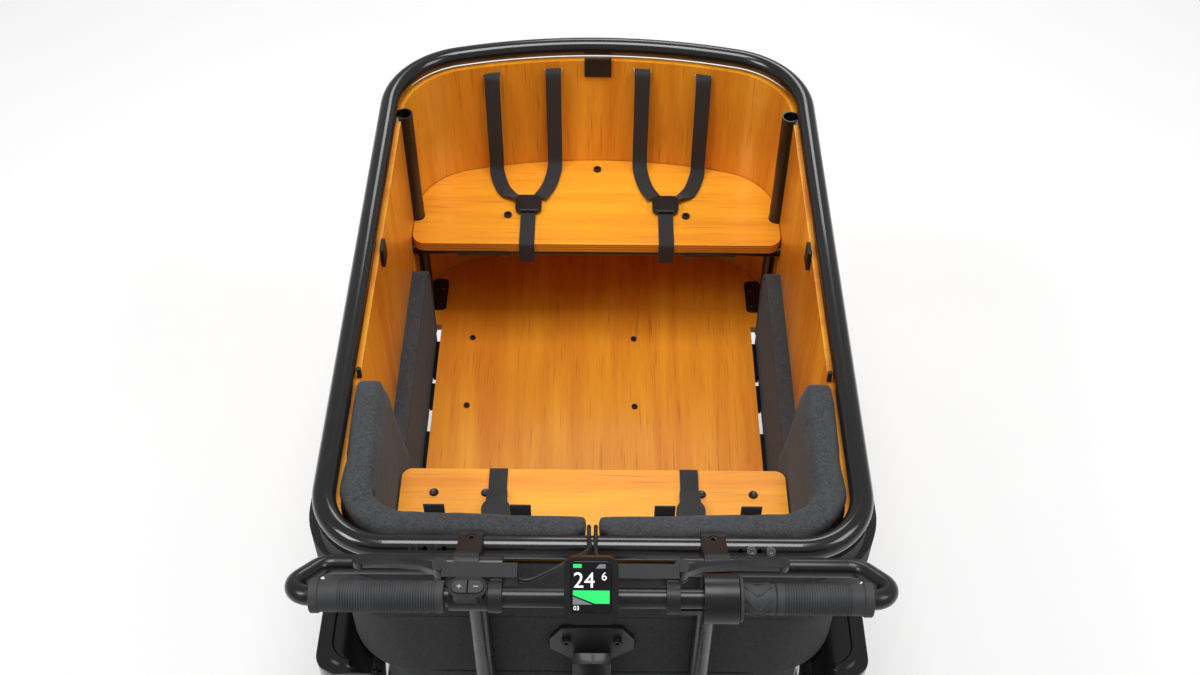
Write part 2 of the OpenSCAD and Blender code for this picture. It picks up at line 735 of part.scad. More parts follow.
// plan of everything that fits between the low walls
module inside_low_wall() {
  u_plan(low_hw - seat_gap, -shell_back + board_t + seat_gap, low_r - board_t, ledge_end_y);
}

module pivot_pin() color(steel) place(pivot_y) {
  translate([0, 0, arm_low - 12]) cylinder(h = arm_top - arm_low + 14, d = pin_d);
  translate([0, 0, arm_low - 12 - seat_gap]) cylinder(h = 12, d = pin_d + 14);
  translate([0, 0, arm_top + seat_gap]) cylinder(h = 5, d = pin_d + 14);
}

// ---- box: boards ----
module floor_panel() color(wood) place(0, cross_h + seat_gap) linear_extrude(floor_t - seat_gap)
  difference() {
    union() {
      intersection() {
        inside_low_wall();
        translate([-floor_w / 2, 8]) square([floor_w, ledge_end_y - 8]);
      }
      intersection() {
        rim_plan(panel_in + ply_t + 1);
        translate([-400, ledge_end_y + 1]) square([800, 400]);
      }
      translate([-floor_w / 2, ledge_end_y - 1]) square([floor_w, 10]);
    }
    for (x = [-front_x, front_x]) translate([x, front_post_y]) circle(d = post_d + 1);
    for (x = screw_x, y = screw_y) translate([x, y]) circle(d = 5);
    both() for (y = plate_hole_y) translate([plate_hole_x, y]) circle(d = plate_hole_d);
  }

module front_panel() color(wood) place(0, cross_h + seat_gap) difference() {
  linear_extrude(wall_top - cross_h) difference() {
    rim_plan(panel_in);
    rim_plan(panel_in + ply_t);
    translate([-500, -100]) square([1000, split_y + 100]);
  }
  for (x = slot_x) translate([x - 15, rim_l - 100, rim_h - 36 - cross_h]) cube([30, 120, 7]);
}

module wall_panel() color(wood) place(0, ledge_h + seat_gap) {
  linear_extrude(wall_top - ledge_h)
    u_wall(wall_hw, -shell_back + skin_t + seat_gap, shell_r - skin_t, wall_end_y, ply_t);
  both() translate([seat_hw, ledge_end_y + 1, cross_h - ledge_h]) cube([ply_t, wall_end_y - ledge_end_y - 1, 300]);
}

// the ledge over a wheel with its round front end, and the armrest on it
module ledge_outline(g) {
  translate([40, 0]) square([ledge_end_y - nose_r - 40, ledge_h - g]);
  translate([40, 0]) square([ledge_end_y - 40 - g, ledge_h - nose_r]);
  translate([ledge_end_y - nose_r, ledge_h - nose_r]) circle(nose_r - g, $fn = 96);
}

module side_bolsters() color(felt) place() both()
  along_x(low_hw, wall_hw - low_hw) difference() {
    intersection() {
      ledge_outline(0);
      translate([85, cross_h]) square([1000, 1000]);
    }
    ledge_outline(board_t);
    translate([-10, ledge_h - nose_r]) square([60, 10]);
  }

// each half of the backrest runs on into an armrest with a sloping front, and leaves a channel
// behind the middle seam for the brake hoses
module backrest_cushions() color(felt) place() both() difference() {
  translate([0, 0, ledge_h + 4]) linear_extrude(pad_top - ledge_h - 4) difference() {
    intersection() {
      rim_plan(rim_d / 2 + seat_gap);
      u_plan(seat_hw - seat_gap, -shell_back + skin_t + ply_t + 2 * seat_gap, shell_r - skin_t - ply_t, 500);
      translate([slit, 0]) square([seat_hw, 340]);
    }
    u_plan(arm_in, backrest_y, pad_corner_r, 500);
    translate([-1, 0]) square([13, hose_y + 5]);
  }
  along_x(arm_in - 5, armrest_w + 10) difference() {
    translate([armrest_y - 20, ledge_h]) square([300, 400]);
    polygon([[0, ledge_h - 1], [336, ledge_h - 1], [336, ledge_h + 14], [armrest_y + 21, pad_top - 20],
             [armrest_y, pad_top - 20], [0, pad_top - 20]]);
    translate([armrest_y, pad_top - 22]) circle(22);
    translate([0, pad_top - 44]) square([armrest_y, 44]);
  }
}

module outer_felt() color(felt) place() {
  // low walls, cut to the round front end of the ledges
  difference() {
    translate([0, 0, rail_h + seat_gap]) linear_extrude(ledge_h - board_t - rail_h - 2 * seat_gap)
      u_wall(low_hw + board_t, -shell_back, low_r, ledge_end_y - board_t - 2, board_t);
    along_x(-400, 800) translate([ledge_end_y - nose_r, ledge_h - nose_r]) difference() {
      square([nose_r, nose_r]);
      circle(nose_r - board_t - seat_gap, $fn = 96);
    }
  }
  translate([0, 0, ledge_h - board_t - 2 * seat_gap]) linear_extrude(board_t + 2 * seat_gap) intersection() {
    u_wall(low_hw + board_t, -shell_back, low_r, ledge_end_y, board_t);
    translate([-500, -100]) square([1000, 185 - seat_gap]);
  }
  // skin over the bent plywood
  translate([0, 0, ledge_h + seat_gap]) linear_extrude(band_low - ledge_h - 2 * seat_gap)
    u_wall(shell_hw, -shell_back, shell_r, wall_end_y, skin_t);
  // padded band under the rim
  translate([0, 0, band_low]) linear_extrude(band_h * 0.72) difference() {
    u_plan(shell_hw + band_out, -shell_back, rear_corner_r + 20, wall_end_y);
    u_plan(shell_hw - skin_t, -shell_back + skin_t, shell_r - skin_t, wall_end_y + 1);
  }
  translate([0, 0, band_low + band_h * 0.72]) linear_extrude(wall_top - band_low - band_h * 0.72) difference() {
    u_plan(shell_hw + band_out / 2, -shell_back, rear_corner_r + 10, wall_end_y);
    u_plan(shell_hw - skin_t, -shell_back + skin_t, shell_r - skin_t, wall_end_y + 1);
  }
}

module spine_plate() color(black) place(-shell_back - seat_gap, 0) {
  top = rim_h - 154;
  rotate([90, 0, 0]) linear_extrude(6) difference() {
    polygon([[-38, top], [38, top], [53, top - 26], [53, top - 50], [24.5, top - 77],
             [-24.5, top - 77], [-53, top - 50], [-53, top - 26]]);
    for (x = [-32, 32]) translate([x, top - 28]) circle(d = 7);
  }
  translate([-24.5, -22, rail_h + seat_gap]) cube([49, 22, top - 60 - rail_h]);
}

// ---- seats ----
module front_bench() color(wood) place(0, front_seat_h - seat_t) difference() {
  linear_extrude(seat_t) difference() {
    rim_plan(panel_in + ply_t + 1);
    translate([-500, -100]) square([1000, front_seat_y + 100]);
    for (x = [-front_x, front_x]) {
      translate([x, front_post_y]) circle(d = post_d + 1);
      translate([x - (x > 0 ? 0 : 40), front_post_y - 13.2]) square([40, 26.4]);
    }
    both() difference() {
      translate([seat_hw - 23, front_seat_y - 1]) square([30, 23]);
      translate([seat_hw - 23, front_seat_y + 22]) circle(22);
    }
  }
  for (p = front_bolts) translate([p[0], p[1], -1]) cylinder(h = seat_t + 2, d = 6.6);
}

module rear_bench() color(wood) place() difference() {
  union() {
    translate([0, (rear_seat_y + 86) / 2, rear_seat_h - seat_t]) slab(2 * rear_seat_hw, rear_seat_y - 86, seat_t, 14);
    for (x = [-180, 180]) along_x(x - 38, 76) translate([seat_axis_y, seat_axis_h]) {
      circle(d = seat_rod_d + 8);
      translate([-seat_rod_d / 2 - 4, 0]) square([60, 9.9]);
      translate([40, 6]) square([66, 3.9]);
    }
  }
  translate([0, seat_axis_y, seat_axis_h]) x_rod(-400, 400, seat_rod_d + 2 * run);
}

module bench_brackets() color(black) place() {
  z = front_seat_h - seat_t - 10;
  for (x = [-188, 188]) {
    difference() {
      along_x(x - 42, 84) translate([front_seat_y + 16, z]) {
        difference() {
          circle(d = 26);
          translate([-20, 9.7]) square([40, 20]);
        }
        translate([-13, 0]) square([26, 9.7]);
        translate([-20, 5.7]) square([96, 4]);
      }
      translate([0, front_seat_y + 16, z]) x_rod(-500, 500, 18 + 2 * run);
      translate([x - 26, front_seat_y - 10, z - 20]) cube([52, 50, 25]);
    }
  }
}

module bolt(d, t) {
  difference() {
    cylinder(h = t, d = d);
    translate([0, 0, t - 2.5]) cylinder(h = 3, d = d * 0.5, $fn = 6);
  }
}

module box_bolts() color(steel) {
  place(0, floor_h) for (x = screw_x, y = screw_y) translate([x, y, seat_gap]) bolt(10, 3);
  place(0, front_seat_h) for (p = front_bolts) translate([p[0], p[1], seat_gap]) bolt(13, 4);
  place(0, rim_h) both() for (x = rim_bolt_x) translate([x, 0, 0]) rotate([rim_bolt_a, 0, 0])
    translate([0, 0, rim_d / 2 + seat_gap]) bolt(11, 5);
  place(-shell_back - seat_gap - 6 - seat_gap, rim_h - 182) for (x = [-32, 32])
    translate([x, 0, 0]) rotate([90, 0, 0]) bolt(12, 5);
  // nuts outside the front hubs
  place(front_axle_y, front_axle_h) both() difference() {
    x_rod(wheel_x + front_hub_l / 2 + seat_gap, wheel_x + front_hub_l / 2 + 8, 20);
    x_rod(0, wheel_x + 50, axle_d + 2 * run);
  }
}

module rim_clips() color(black) place() {
  both() {
    translate([seat_hw - 6 - seat_gap, 494, rim_h - 40]) cube([6, 25, 34]);
    translate([hw - rim_d / 2 - 6.5, armrest_y + 26, wall_top + seat_gap]) cube([6, 6, 18]);
  }
  translate([-22, panel_y(22) - 4 - seat_gap, rim_h - 46]) cube([44, 4, 38]);
}

// ---- harness ----
module flat_strap(a, b, z) {
  d = unit(b - a);
  n = [-d[1], d[0]] * web_w / 2;
  translate([0, 0, z]) linear_extrude(web_t) polygon([a + n, b + n, b - n, a - n]);
}

module harness_straps() color("#2c2d30") place() {
  both() {
    for (s = [[slot_x[3], 133], [slot_x[2], 93]]) {
      foot_y = panel_y(s[0] + web_w / 2) - 2 * seat_gap - web_t;
      translate([s[0] - web_w / 2, foot_y, web_z + web_t + seat_gap])
        cube([web_w, web_t, rim_h - 30 - web_z - web_t]);
      flat_strap([s[0], foot_y], [s[1], buckle_p[1] + 26], web_z);
    }
    // crotch strap from the buckle over the bench's rear edge
    translate([buckle_p[0] - web_w / 2, front_seat_y - web_t - seat_gap, web_z])
      cube([web_w, buckle_p[1] - front_seat_y - 18, web_t]);
    translate([buckle_p[0] - web_w / 2, front_seat_y - web_t - seat_gap, web_z - 42])
      cube([web_w, web_t, 42]);
    // shoulder straps on the rear backrest
    for (x = [86, 189]) {
      translate([x - web_w / 2, backrest_y + seat_gap, rear_seat_h + 16])
        cube([web_w, web_t, pad_top - rear_seat_h - 16]);
    }
  }
}

module front_buckles() color("#151516") place(buckle_p[1], web_z + web_t + seat_gap) both()
  translate([buckle_p[0], 0, 0]) slab(44, 40, 10, 12);

module crotch_straps() color("#2c2d30") place() both() {
  translate([130 - web_w / 2, 150, rear_seat_h + seat_gap]) cube([web_w, rear_seat_y - 150 + web_t + seat_gap, web_t]);
  translate([130 - web_w / 2, rear_seat_y + seat_gap, rear_seat_h - 30]) cube([web_w, web_t, 30 + seat_gap]);
}

module rear_buckles() color("#151516") place(161, rear_seat_h + seat_gap + web_t + seat_gap) both()
  translate([130, 0, 0]) {
    cylinder(h = 10, d = 39);
    translate([-14, 0, 0]) cube([28, 34, 7]);
  }

// ---- handlebar ----
module bar_rear(d, extra) {
  x_rod(-bar_straight + weld - extra, bar_straight - weld + extra, d);
}

// the right end from the first bend to the front bar's inner end
module bar_return(d, extra) {
  translate([bar_straight + bend_1 * sin(bend_a), bend_1 * (1 - cos(bend_a)), 0]) rotate([0, 0, bend_a]) {
    x_rod(weld - extra, diag_l, d);
    translate([diag_l, 0, 0]) bend(bend_2, 180 - bend_a, d);
    translate([diag_l, 0, 0]) translate([bend_2 * sin(180 - bend_a), bend_2 * (1 + cos(bend_a)), 0])
      rotate([0, 0, 180 - bend_a]) x_rod(0, stay_l + extra, d);
  }
}

module handlebar() color(black) place(-bar_y, bar_z) rotate([-bar_tilt, 0, 0]) {
  difference() {
    bar_rear(bar_d, 0);
    bar_rear(bar_d - 2 * tube_t, 1);
  }
  both() {
    difference() {
      translate([bar_straight, 0, 0]) bend(bend_1, bend_a, bar_d);
      translate([bar_straight, 0, 0]) bend(bend_1, bend_a, bar_d - 2 * tube_t);
    }
    difference() {
      bar_return(bar_d, 0);
      bar_return(bar_d - 2 * tube_t, 1);
    }
  }
}

module bar_brackets() color(black) place() for (x = [-bracket_w / 2, bracket_w / 2])
  difference() {
    along_x(x - 14, 28) difference() {
      union() {
        translate([-stay_y, stay_z]) circle(bar_d / 2 + 5);
        translate([0, rim_h]) circle(rim_d / 2 + 6);
        polygon([[-stay_y - 4, stay_z + 15.5], [4, rim_h + 20], [0, rim_h + 2], [-20, rim_h + 2],
                 [-stay_y, stay_z - 15.5]]);
      }
      translate([-60, rim_h - 60]) square([120, 61]);
      translate([rim_d / 2, rim_h - 60]) square([60, 120]);
      translate([0, rim_h]) circle(rim_d / 2 + run);
      translate([-stay_y, stay_z]) circle(bar_d / 2 + run);
    }
    translate([x, 0, rim_h + 14]) cylinder(h = 20, d = 6.2);
    translate([x, 0, rim_h + 18]) cylinder(h = 20, d = 11);
  }

module grip_body(l) {
  difference() {
    union() {
      x_rod(0, l, grip_d);
      x_rod(l - 10, l, grip_d + 3);
    }
    x_rod(-1, l + 1, bar_d + 2 * run);
  }
}

module grips() color("#4a4b4d") place(-bar_y, bar_z) {
  translate([grip_in + twist_l + seat_gap, 0, 0]) grip_body(grip_l - twist_l - seat_gap - 1);
  mirror([1, 0, 0]) translate([grip_in, 0, 0]) grip_body(grip_l - 1);
}

module shifter_grip() color("#4a4b4d") place(-bar_y, bar_z, grip_in + seat_gap) difference() {
  union() {
    x_rod(0, twist_l - seat_gap, grip_d);
    x_rod(0, 4, 50);
  }
  x_rod(-1, twist_l + 1, bar_d + 2 * run);
}

module shifter_housing() color(black) place(-bar_y, bar_z) difference() {
  union() {
    translate([shift_x, 0, 0]) x_rod(0, 38 - seat_gap, 54);
    translate([shift_x - 24, -7, -24]) cube([30, 12, 10]);
  }
  translate([shift_x - 40, 0, 0]) x_rod(0, 100, bar_d + 2 * run);
}

// brake body with its clamp and lever pin, drawn for the right side
module brake_body(clamp_x, body_x0, pivot_x) {
  difference() {
    union() {
      translate([clamp_x, 0, 0]) x_rod(0, 15, bar_d + 12);
      translate([clamp_x + 1, 0, -8]) cube([13, 34, 16]);
      translate([body_x0, grip_d / 2 + 1, -17]) cube([pivot_x - 3 - body_x0, 19, 27]);
      for (z = [-lever_slot - 3.5, lever_slot]) translate([pivot_x, lever_y + bar_y, lever_z - bar_z + z])
        cylinder(h = 3.5, r = 8.5);
    }
    x_rod(-300, 300, bar_d + 2 * run);
    translate([pivot_x, lever_y + bar_y, lever_z - bar_z - lever_slot]) cylinder(h = 2 * lever_slot, d = 26);
  }
  translate([pivot_x, lever_y + bar_y, lever_z - bar_z - lever_slot - 2])
    cylinder(h = 2 * lever_slot + 4, d = lever_pin_d);
}

module brake_bodies() color(black) place(-bar_y, bar_z) {
  brake_body(lever_right_x - 18, lever_right_x - brake_l, lever_right_x);
  mirror([1, 0, 0]) brake_body(lever_x - 70.6, lever_x - brake_l, lever_x);
}

module brake_lever(pivot_x, l) {
  translate([pivot_x, lever_y, lever_z]) difference() {
    union() {
      translate([0, 0, -lever_slot + seat_gap]) cylinder(h = 2 * (lever_slot - seat_gap), r = 8);
      translate([0, 0, -5]) linear_extrude(10) {
        polygon([[0, 7], [24, 10], [l * 0.55, 13], [l - 6, 14], [l - 6, 4], [l * 0.5, 4], [24, 2], [0, -7]]);
        translate([l - 5, 9]) circle(7);
      }
    }
    translate([0, 0, -lever_slot]) cylinder(h = 2 * lever_slot, d = lever_pin_d + 2 * run);
  }
}

module brake_lever_right() color(black) place() brake_lever(lever_right_x, 118);
module brake_lever_left() color(black) place() mirror([1, 0, 0]) brake_lever(lever_x, 96);

module control_housings() color(black) {
  // remote with a well for its two buttons
  place(-bar_y, bar_z, -remote_x + 2) difference() {
    union() {
      x_rod(-21, 21, bar_d + 8);
      translate([0, 0, 6]) slab(41, 26, 14, 12);
    }
    x_rod(-50, 50, bar_d + 2 * run);
    translate([0, 0, 15]) slab(36, 17, 10, 8.4);
  }
  // display case and the arm that holds it on the bar
  place(-bar_y - 6, bar_z + 26) rotate([display_tilt, 0, 0]) {
    difference() {
      translate([0, 0, -8]) slab(58, 72, 14, 12);
      translate([0, 4, 4]) slab(44, 56, 10, 5);
    }
  }
  place(-bar_y, bar_z) difference() {
    union() {
      x_rod(-14, 14, bar_d + 10);
      translate([-14, -14, 0]) cube([28, 22, 15]);
    }
    x_rod(-50, 50, bar_d + 2 * run);
  }
}

module display_screen() color("#d8e0e0") place(-bar_y - 6, bar_z + 26) rotate([display_tilt, 0, 0])
  translate([0, 4, 4 + seat_gap]) slab(44 - 2 * seat_gap, 56 - 2 * seat_gap, 1.6, 4.5);

module remote_button() {
  intersection() {
    translate([0, 0, 16.5]) slab(35, 16, 5, 7.9);
    translate([0.5, -20, 0]) cube([40, 40, 40]);
  }
}
module remote_minus() color("#6a6b6d") place(-bar_y, bar_z, -remote_x + 2) remote_button();
module remote_plus() color("#6a6b6d") place(-bar_y, bar_z, -remote_x + 2) mirror([1, 0, 0]) remote_button();

// brake hoses from the brake bodies over the rim and down behind the backrest
module cables() color("#101011") place()
  for (s = [[-lever_x + brake_l + 2 * seat_gap, -1], [lever_right_x - brake_l - 2 * seat_gap, 1]]) {
  x = 4 * s[1];
  out = -14 * s[1];
  cord([
    [s[0], -77, 874], [s[0] + out, -77, 874], [x + (s[0] - x) * 0.4, -56, 870], [x, -30, 862], [x, -8, 849],
    [x, 12, 844], [x, hose_y, 831], [x, hose_y, 800], [x, hose_y, 700], [x, hose_y, 570]
  ], 5, 3);
}

// ---- wheels' cover, lamp, brakes ----
module mudguards() color(black) place() both() {
  z = ledge_h - board_t - 5;
  translate([0, 0, z]) linear_extrude(3) guard_plan(0);
  translate([0, 0, z + 3]) linear_extrude(2) difference() {
    guard_plan(12);
    guard_plan(20);
    translate([250, -50]) square([wall_hw + 3 - 250, 900]);
  }
  translate([0, 0, z - 45]) linear_extrude(45) difference() {
    guard_plan(0);
    guard_plan(3);
    translate([250, 4]) square([wall_hw - 250, 900]);
  }
}

module guard_plan(g) {
  x0 = low_hw + board_t + seat_gap;
  difference() {
    translate([x0, -14 + g]) square([guard_hw - g - x0, 640 - 2 * g]);
    translate([guard_hw - g - 30, -14 + g - 0.01]) difference() {
      translate([0, -1]) square([40, 31]);
      translate([0, 30]) circle(30);
    }
    translate([guard_hw - g - 30, 626 - g - 30]) difference() {
      square([40, 31]);
      circle(30);
    }
  }
}

module front_calipers() color(black) place(front_axle_y, front_axle_h) both()
  caliper(wheel_x + front_disc_x + disc_t / 2, -20, caliper_in, wheel_x + front_disc_x + 10);

module headlight() color(black) place(rim_l - panel_in + seat_gap, rim_h - 90)
  rotate([-90, 0, 0]) cylinder(h = lamp_l, d = 62);

main_frame();
rear_stays();
pivot_bearings();
motor_unit();
battery_pack();
belt();
rear_mudguard();
rear_light();
rear_caliper();
rear_axle();
seat_clamp();
seatpost();
saddle();
crank_set();
front_pulley();
pedal_left();
pedal_right();
rear_pulley();
rear_tyre();
rear_wheel();
tyre_left();
wheel_left();
tyre_right();
wheel_right();
shifter_grip();
brake_lever_left();
brake_lever_right();
remote_plus();
remote_minus();
rear_bench();
crotch_straps();
rear_buckles();
rim_tube();
posts_and_crossbars();
floor_frame();
pivot_pin();
floor_panel();
front_panel();
wall_panel();
front_bench();
bench_brackets();
side_bolsters();
backrest_cushions();
outer_felt();
spine_plate();
box_bolts();
rim_clips();
harness_straps();
front_buckles();
handlebar();
bar_brackets();
grips();
shifter_housing();
brake_bodies();
control_housings();
display_screen();
cables();
mudguards();
front_calipers();
headlight();
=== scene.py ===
"""Finishes and soft goods of a three-wheeled cargo bicycle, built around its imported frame."""
import json
import math

import bmesh
import bpy
from bpy.props import FloatProperty, FloatVectorProperty, IntProperty, PointerProperty
from mathutils import Matrix, Vector


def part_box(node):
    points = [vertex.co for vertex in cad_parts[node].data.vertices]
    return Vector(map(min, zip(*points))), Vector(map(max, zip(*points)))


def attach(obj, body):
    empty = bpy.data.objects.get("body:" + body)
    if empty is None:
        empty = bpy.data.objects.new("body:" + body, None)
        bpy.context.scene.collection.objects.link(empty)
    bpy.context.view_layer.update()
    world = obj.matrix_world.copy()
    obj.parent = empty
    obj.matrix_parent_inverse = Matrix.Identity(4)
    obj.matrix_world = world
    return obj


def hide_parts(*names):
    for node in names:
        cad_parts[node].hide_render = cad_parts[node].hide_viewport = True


bl_info = {
    "name": "Cargo bicycle",
    "version": (1, 0, 0),
    "blender": (4, 5, 0),
    "location": "View3D > Sidebar > Bicycle",
    "description": "Builds the finishes, soft goods and stage of a cargo bicycle",
    "category": "Object",
}

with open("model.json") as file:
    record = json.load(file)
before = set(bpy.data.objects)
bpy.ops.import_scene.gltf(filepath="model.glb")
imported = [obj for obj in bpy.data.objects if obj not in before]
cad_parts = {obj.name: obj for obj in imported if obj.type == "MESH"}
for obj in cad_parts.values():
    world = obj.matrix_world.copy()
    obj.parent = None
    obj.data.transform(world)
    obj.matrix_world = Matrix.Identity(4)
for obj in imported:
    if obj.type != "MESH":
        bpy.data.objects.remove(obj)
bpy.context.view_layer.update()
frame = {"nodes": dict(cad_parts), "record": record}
BODY_OF = {node: body for body, nodes in frame["record"]["behaviour"]["bodies"].items()
           for node in nodes}
CENTRING = 0.1084      # the CAD's own Y plus this is the frame's Y


# ---- settings ----

class FeltSettings(bpy.types.PropertyGroup):
    """Felt walls, ledges and cushions"""
    light: FloatVectorProperty(name="Light fibre", description="Colour of the pale fibres",
                               subtype="COLOR", default=(0.078, 0.080, 0.086))
    dark: FloatVectorProperty(name="Dark fibre", description="Colour of the dark fibres",
                              subtype="COLOR", default=(0.014, 0.0145, 0.016))
    voxel: FloatProperty(name="Mesh size", description="Voxel size of the cushions",
                         subtype="DISTANCE", unit="LENGTH", default=0.005)
    puff: FloatProperty(name="Puff", description="Furthest that a cushion swells",
                        subtype="DISTANCE", unit="LENGTH", default=0.006)


class WoodSettings(bpy.types.PropertyGroup):
    """Clear-coated plywood"""
    light: FloatVectorProperty(name="Light grain", description="Colour of the pale grain",
                               subtype="COLOR", default=(0.95, 0.40, 0.024))
    dark: FloatVectorProperty(name="Dark grain", description="Colour of the dark grain",
                              subtype="COLOR", default=(0.72, 0.215, 0.008))
    edge: FloatProperty(name="Edge radius", description="Rounding of the bench edges",
                        subtype="DISTANCE", unit="LENGTH", default=0.004)


class GripSettings(bpy.types.PropertyGroup):
    """Handlebar grips"""
    pitch: FloatProperty(name="Ring pitch", description="Distance between rings",
                         subtype="DISTANCE", unit="LENGTH", default=0.0028)
    depth: FloatProperty(name="Ring depth", description="Depth of the grooves",
                         subtype="DISTANCE", unit="LENGTH", default=0.0008)
    steps: IntProperty(name="Steps", description="Faces round a grip", default=56, min=16, max=96)


class TyreSettings(bpy.types.PropertyGroup):
    """Tyres"""
    blocks: IntProperty(name="Tread blocks", description="Blocks round a front tyre",
                        default=72, min=24, max=120)
    groove: FloatProperty(name="Groove", description="Depth of the grooves",
                          subtype="DISTANCE", unit="LENGTH", default=0.0022)


class StageSettings(bpy.types.PropertyGroup):
    """Floor, light and camera"""
    lens: FloatProperty(name="Lens", description="Focal length in millimetres on a 36 mm sensor",
                        default=41.3)
    pitch: FloatProperty(name="Pitch", description="Camera's angle below the horizon",
                         subtype="ANGLE", unit="ROTATION", default=math.radians(48.4))
    roll: FloatProperty(name="Roll", description="Camera's turn about its line of sight",
                        subtype="ANGLE", unit="ROTATION", default=math.radians(0.475))
    sky: FloatProperty(name="Sky", description="Strength of the even light", default=0.42)


# ---- materials ----

class Wire:
    """A socket's value in shader maths, so that it can be added, multiplied and compared."""

    def __init__(self, brew, socket):
        self.brew = brew
        self.socket = socket

    def math(self, operation, *others):
        values = dict(enumerate((self, *others)))
        return self.brew.node("ShaderNodeMath", {"operation": operation}, values)

    def __add__(self, other): return self.math("ADD", other)
    def __radd__(self, other): return self.math("ADD", other)
    def __sub__(self, other): return self.math("SUBTRACT", other)
    def __rsub__(self, other): return (self * -1.0) + other
    def __mul__(self, other): return self.math("MULTIPLY", other)
    def __rmul__(self, other): return self.math("MULTIPLY", other)
    def __gt__(self, other): return self.math("GREATER_THAN", other)
    def __lt__(self, other): return self.math("LESS_THAN", other)

    def clip(self):
        return self.brew.node("ShaderNodeClamp", {}, {0: self})


class Brew:
    """One procedural material."""

    def __init__(self, name, **fixed):
        self.mat = bpy.data.materials.new(name)
        self.mat.use_nodes = True
        self.tree = self.mat.node_tree
        self.shader = self.tree.nodes["Principled BSDF"]
        for key, value in fixed.items():
            self.shader.inputs[key.replace("_", " ")].default_value = value
        self.place = Wire(self, self.tree.nodes.new("ShaderNodeTexCoord").outputs["Object"])

    def node(self, kind, settings, inputs, out=0):
        n = self.tree.nodes.new(kind)
        for key, value in settings.items():
            if key == "stops":
                self.stops(n.color_ramp, value)
            else:
                setattr(n, key, value)
        for key, value in inputs.items():
            self.feed(n.inputs[key], value)
        return Wire(self, n.outputs[out])

    def stops(self, ramp, stops):
        while len(ramp.elements) < len(stops):
            ramp.elements.new(0.5)
        for element, (position, colour) in zip(ramp.elements, stops):
            element.position = position
            element.color = (*colour, 1.0)

    def feed(self, socket, value):
        if isinstance(value, Wire):
            self.tree.links.new(value.socket, socket)
        elif hasattr(value, "__len__") and socket.type == "RGBA" and len(value) == 3:
            socket.default_value = (*value, 1.0)
        else:
            socket.default_value = value

    def axes(self, vector=None):
        vector = vector or self.place
        return [self.node("ShaderNodeSeparateXYZ", {}, {0: vector}, i) for i in range(3)]

    def stretch(self, scale, location=(0, 0, 0)):
        return self.node("ShaderNodeMapping", {},
                         {"Vector": self.place, "Location": location, "Scale": scale})

    def noise(self, vector=None, scale=10.0, detail=3.0, rough=0.55, bend=0.0):
        return self.node("ShaderNodeTexNoise", {},
                         {"Vector": vector or self.place, "Scale": scale, "Detail": detail,
                          "Roughness": rough, "Distortion": bend})

    def remap(self, value, low, high, to_low=0.0, to_high=1.0):
        return self.node("ShaderNodeMapRange", {}, {"Value": value, "From Min": low, "From Max": high,
                                                    "To Min": to_low, "To Max": to_high})

    def tint(self, factor, first, second):
        return self.node("ShaderNodeMix", {"data_type": "RGBA"}, {0: factor, 6: first, 7: second}, 2)

    def bump(self, height, distance=0.001, strength=1.0):
        return self.node("ShaderNodeBump", {}, {"Height": height, "Distance": distance, "Strength": strength})

    def finish(self, **links):
        for key, value in links.items():
            self.feed(self.shader.inputs[key.replace("_", " ")], value)
        return self.mat


def paint(name, colour, rough=0.2, coat=0.6):
    """Gloss paint with a faint orange peel and dull patches."""
    b = Brew(name, Coat_Roughness=0.06, Specular_IOR_Level=0.35)
    patch = b.noise(scale=6.0, detail=4.0)
    peel = b.noise(scale=900.0, detail=1.0)
    dust = b.remap(b.noise(scale=70.0, detail=6.0, rough=0.7), 0.58, 0.8)
    return b.finish(Base_Color=b.tint(dust * 0.35, colour, [c * 1.8 + 0.012 for c in colour]),
                    Roughness=b.remap(patch, 0.3, 0.7, rough * 0.8, rough * 1.25) + dust * 0.12,
                    Coat_Weight=b.remap(patch, 0.3, 0.7, coat, coat * 0.8),
                    Normal=b.bump(peel, 0.00004, 0.5))


def metal(name, colour, rough=0.3, streak=(1.0, 30.0, 30.0), metallic=1.0):
    """Brushed or turned metal with fine streaks."""
    b = Brew(name, Metallic=metallic)
    lines = b.noise(b.stretch(streak), scale=60.0, detail=4.0, rough=0.7)
    smear = b.noise(scale=14.0, detail=3.0)
    dark = [c * 0.72 for c in colour]
    return b.finish(Base_Color=b.tint(b.remap(smear, 0.3, 0.7), dark, colour),
                    Roughness=b.remap(lines, 0.3, 0.7, rough * 0.75, rough * 1.3),
                    Normal=b.bump(lines, 0.00006, 0.6))


def plastic(name, colour, rough=0.5, grain=1400.0, depth=0.00012):
    """Moulded plastic with a spark-eroded grain."""
    b = Brew(name, Specular_IOR_Level=0.35)
    cell = b.node("ShaderNodeTexVoronoi", {"feature": "SMOOTH_F1"}, {"Vector": b.place, "Scale": grain * 0.6})
    scuff = b.remap(b.noise(scale=40.0, detail=5.0, rough=0.7), 0.55, 0.8)
    return b.finish(Base_Color=b.tint(scuff * 0.4, colour, [c * 1.6 + 0.01 for c in colour]),
                    Roughness=b.remap(b.noise(scale=25.0), 0.3, 0.7, rough * 0.85, rough * 1.15),
                    Normal=b.bump(cell, depth, 0.6))


def rubber(name, colour, rough=0.75):
    """Rubber with a fine dust."""
    b = Brew(name, Specular_IOR_Level=0.35)
    fine = b.noise(scale=500.0, detail=3.0)
    dust = b.remap(b.noise(scale=30.0, detail=5.0, rough=0.65), 0.45, 0.75)
    return b.finish(Base_Color=b.tint(dust * 0.5, colour, [c * 1.7 + 0.012 for c in colour]),
                    Roughness=b.remap(fine, 0.3, 0.7, rough * 0.9, rough * 1.1),
                    Normal=b.bump(fine, 0.00015, 0.7))


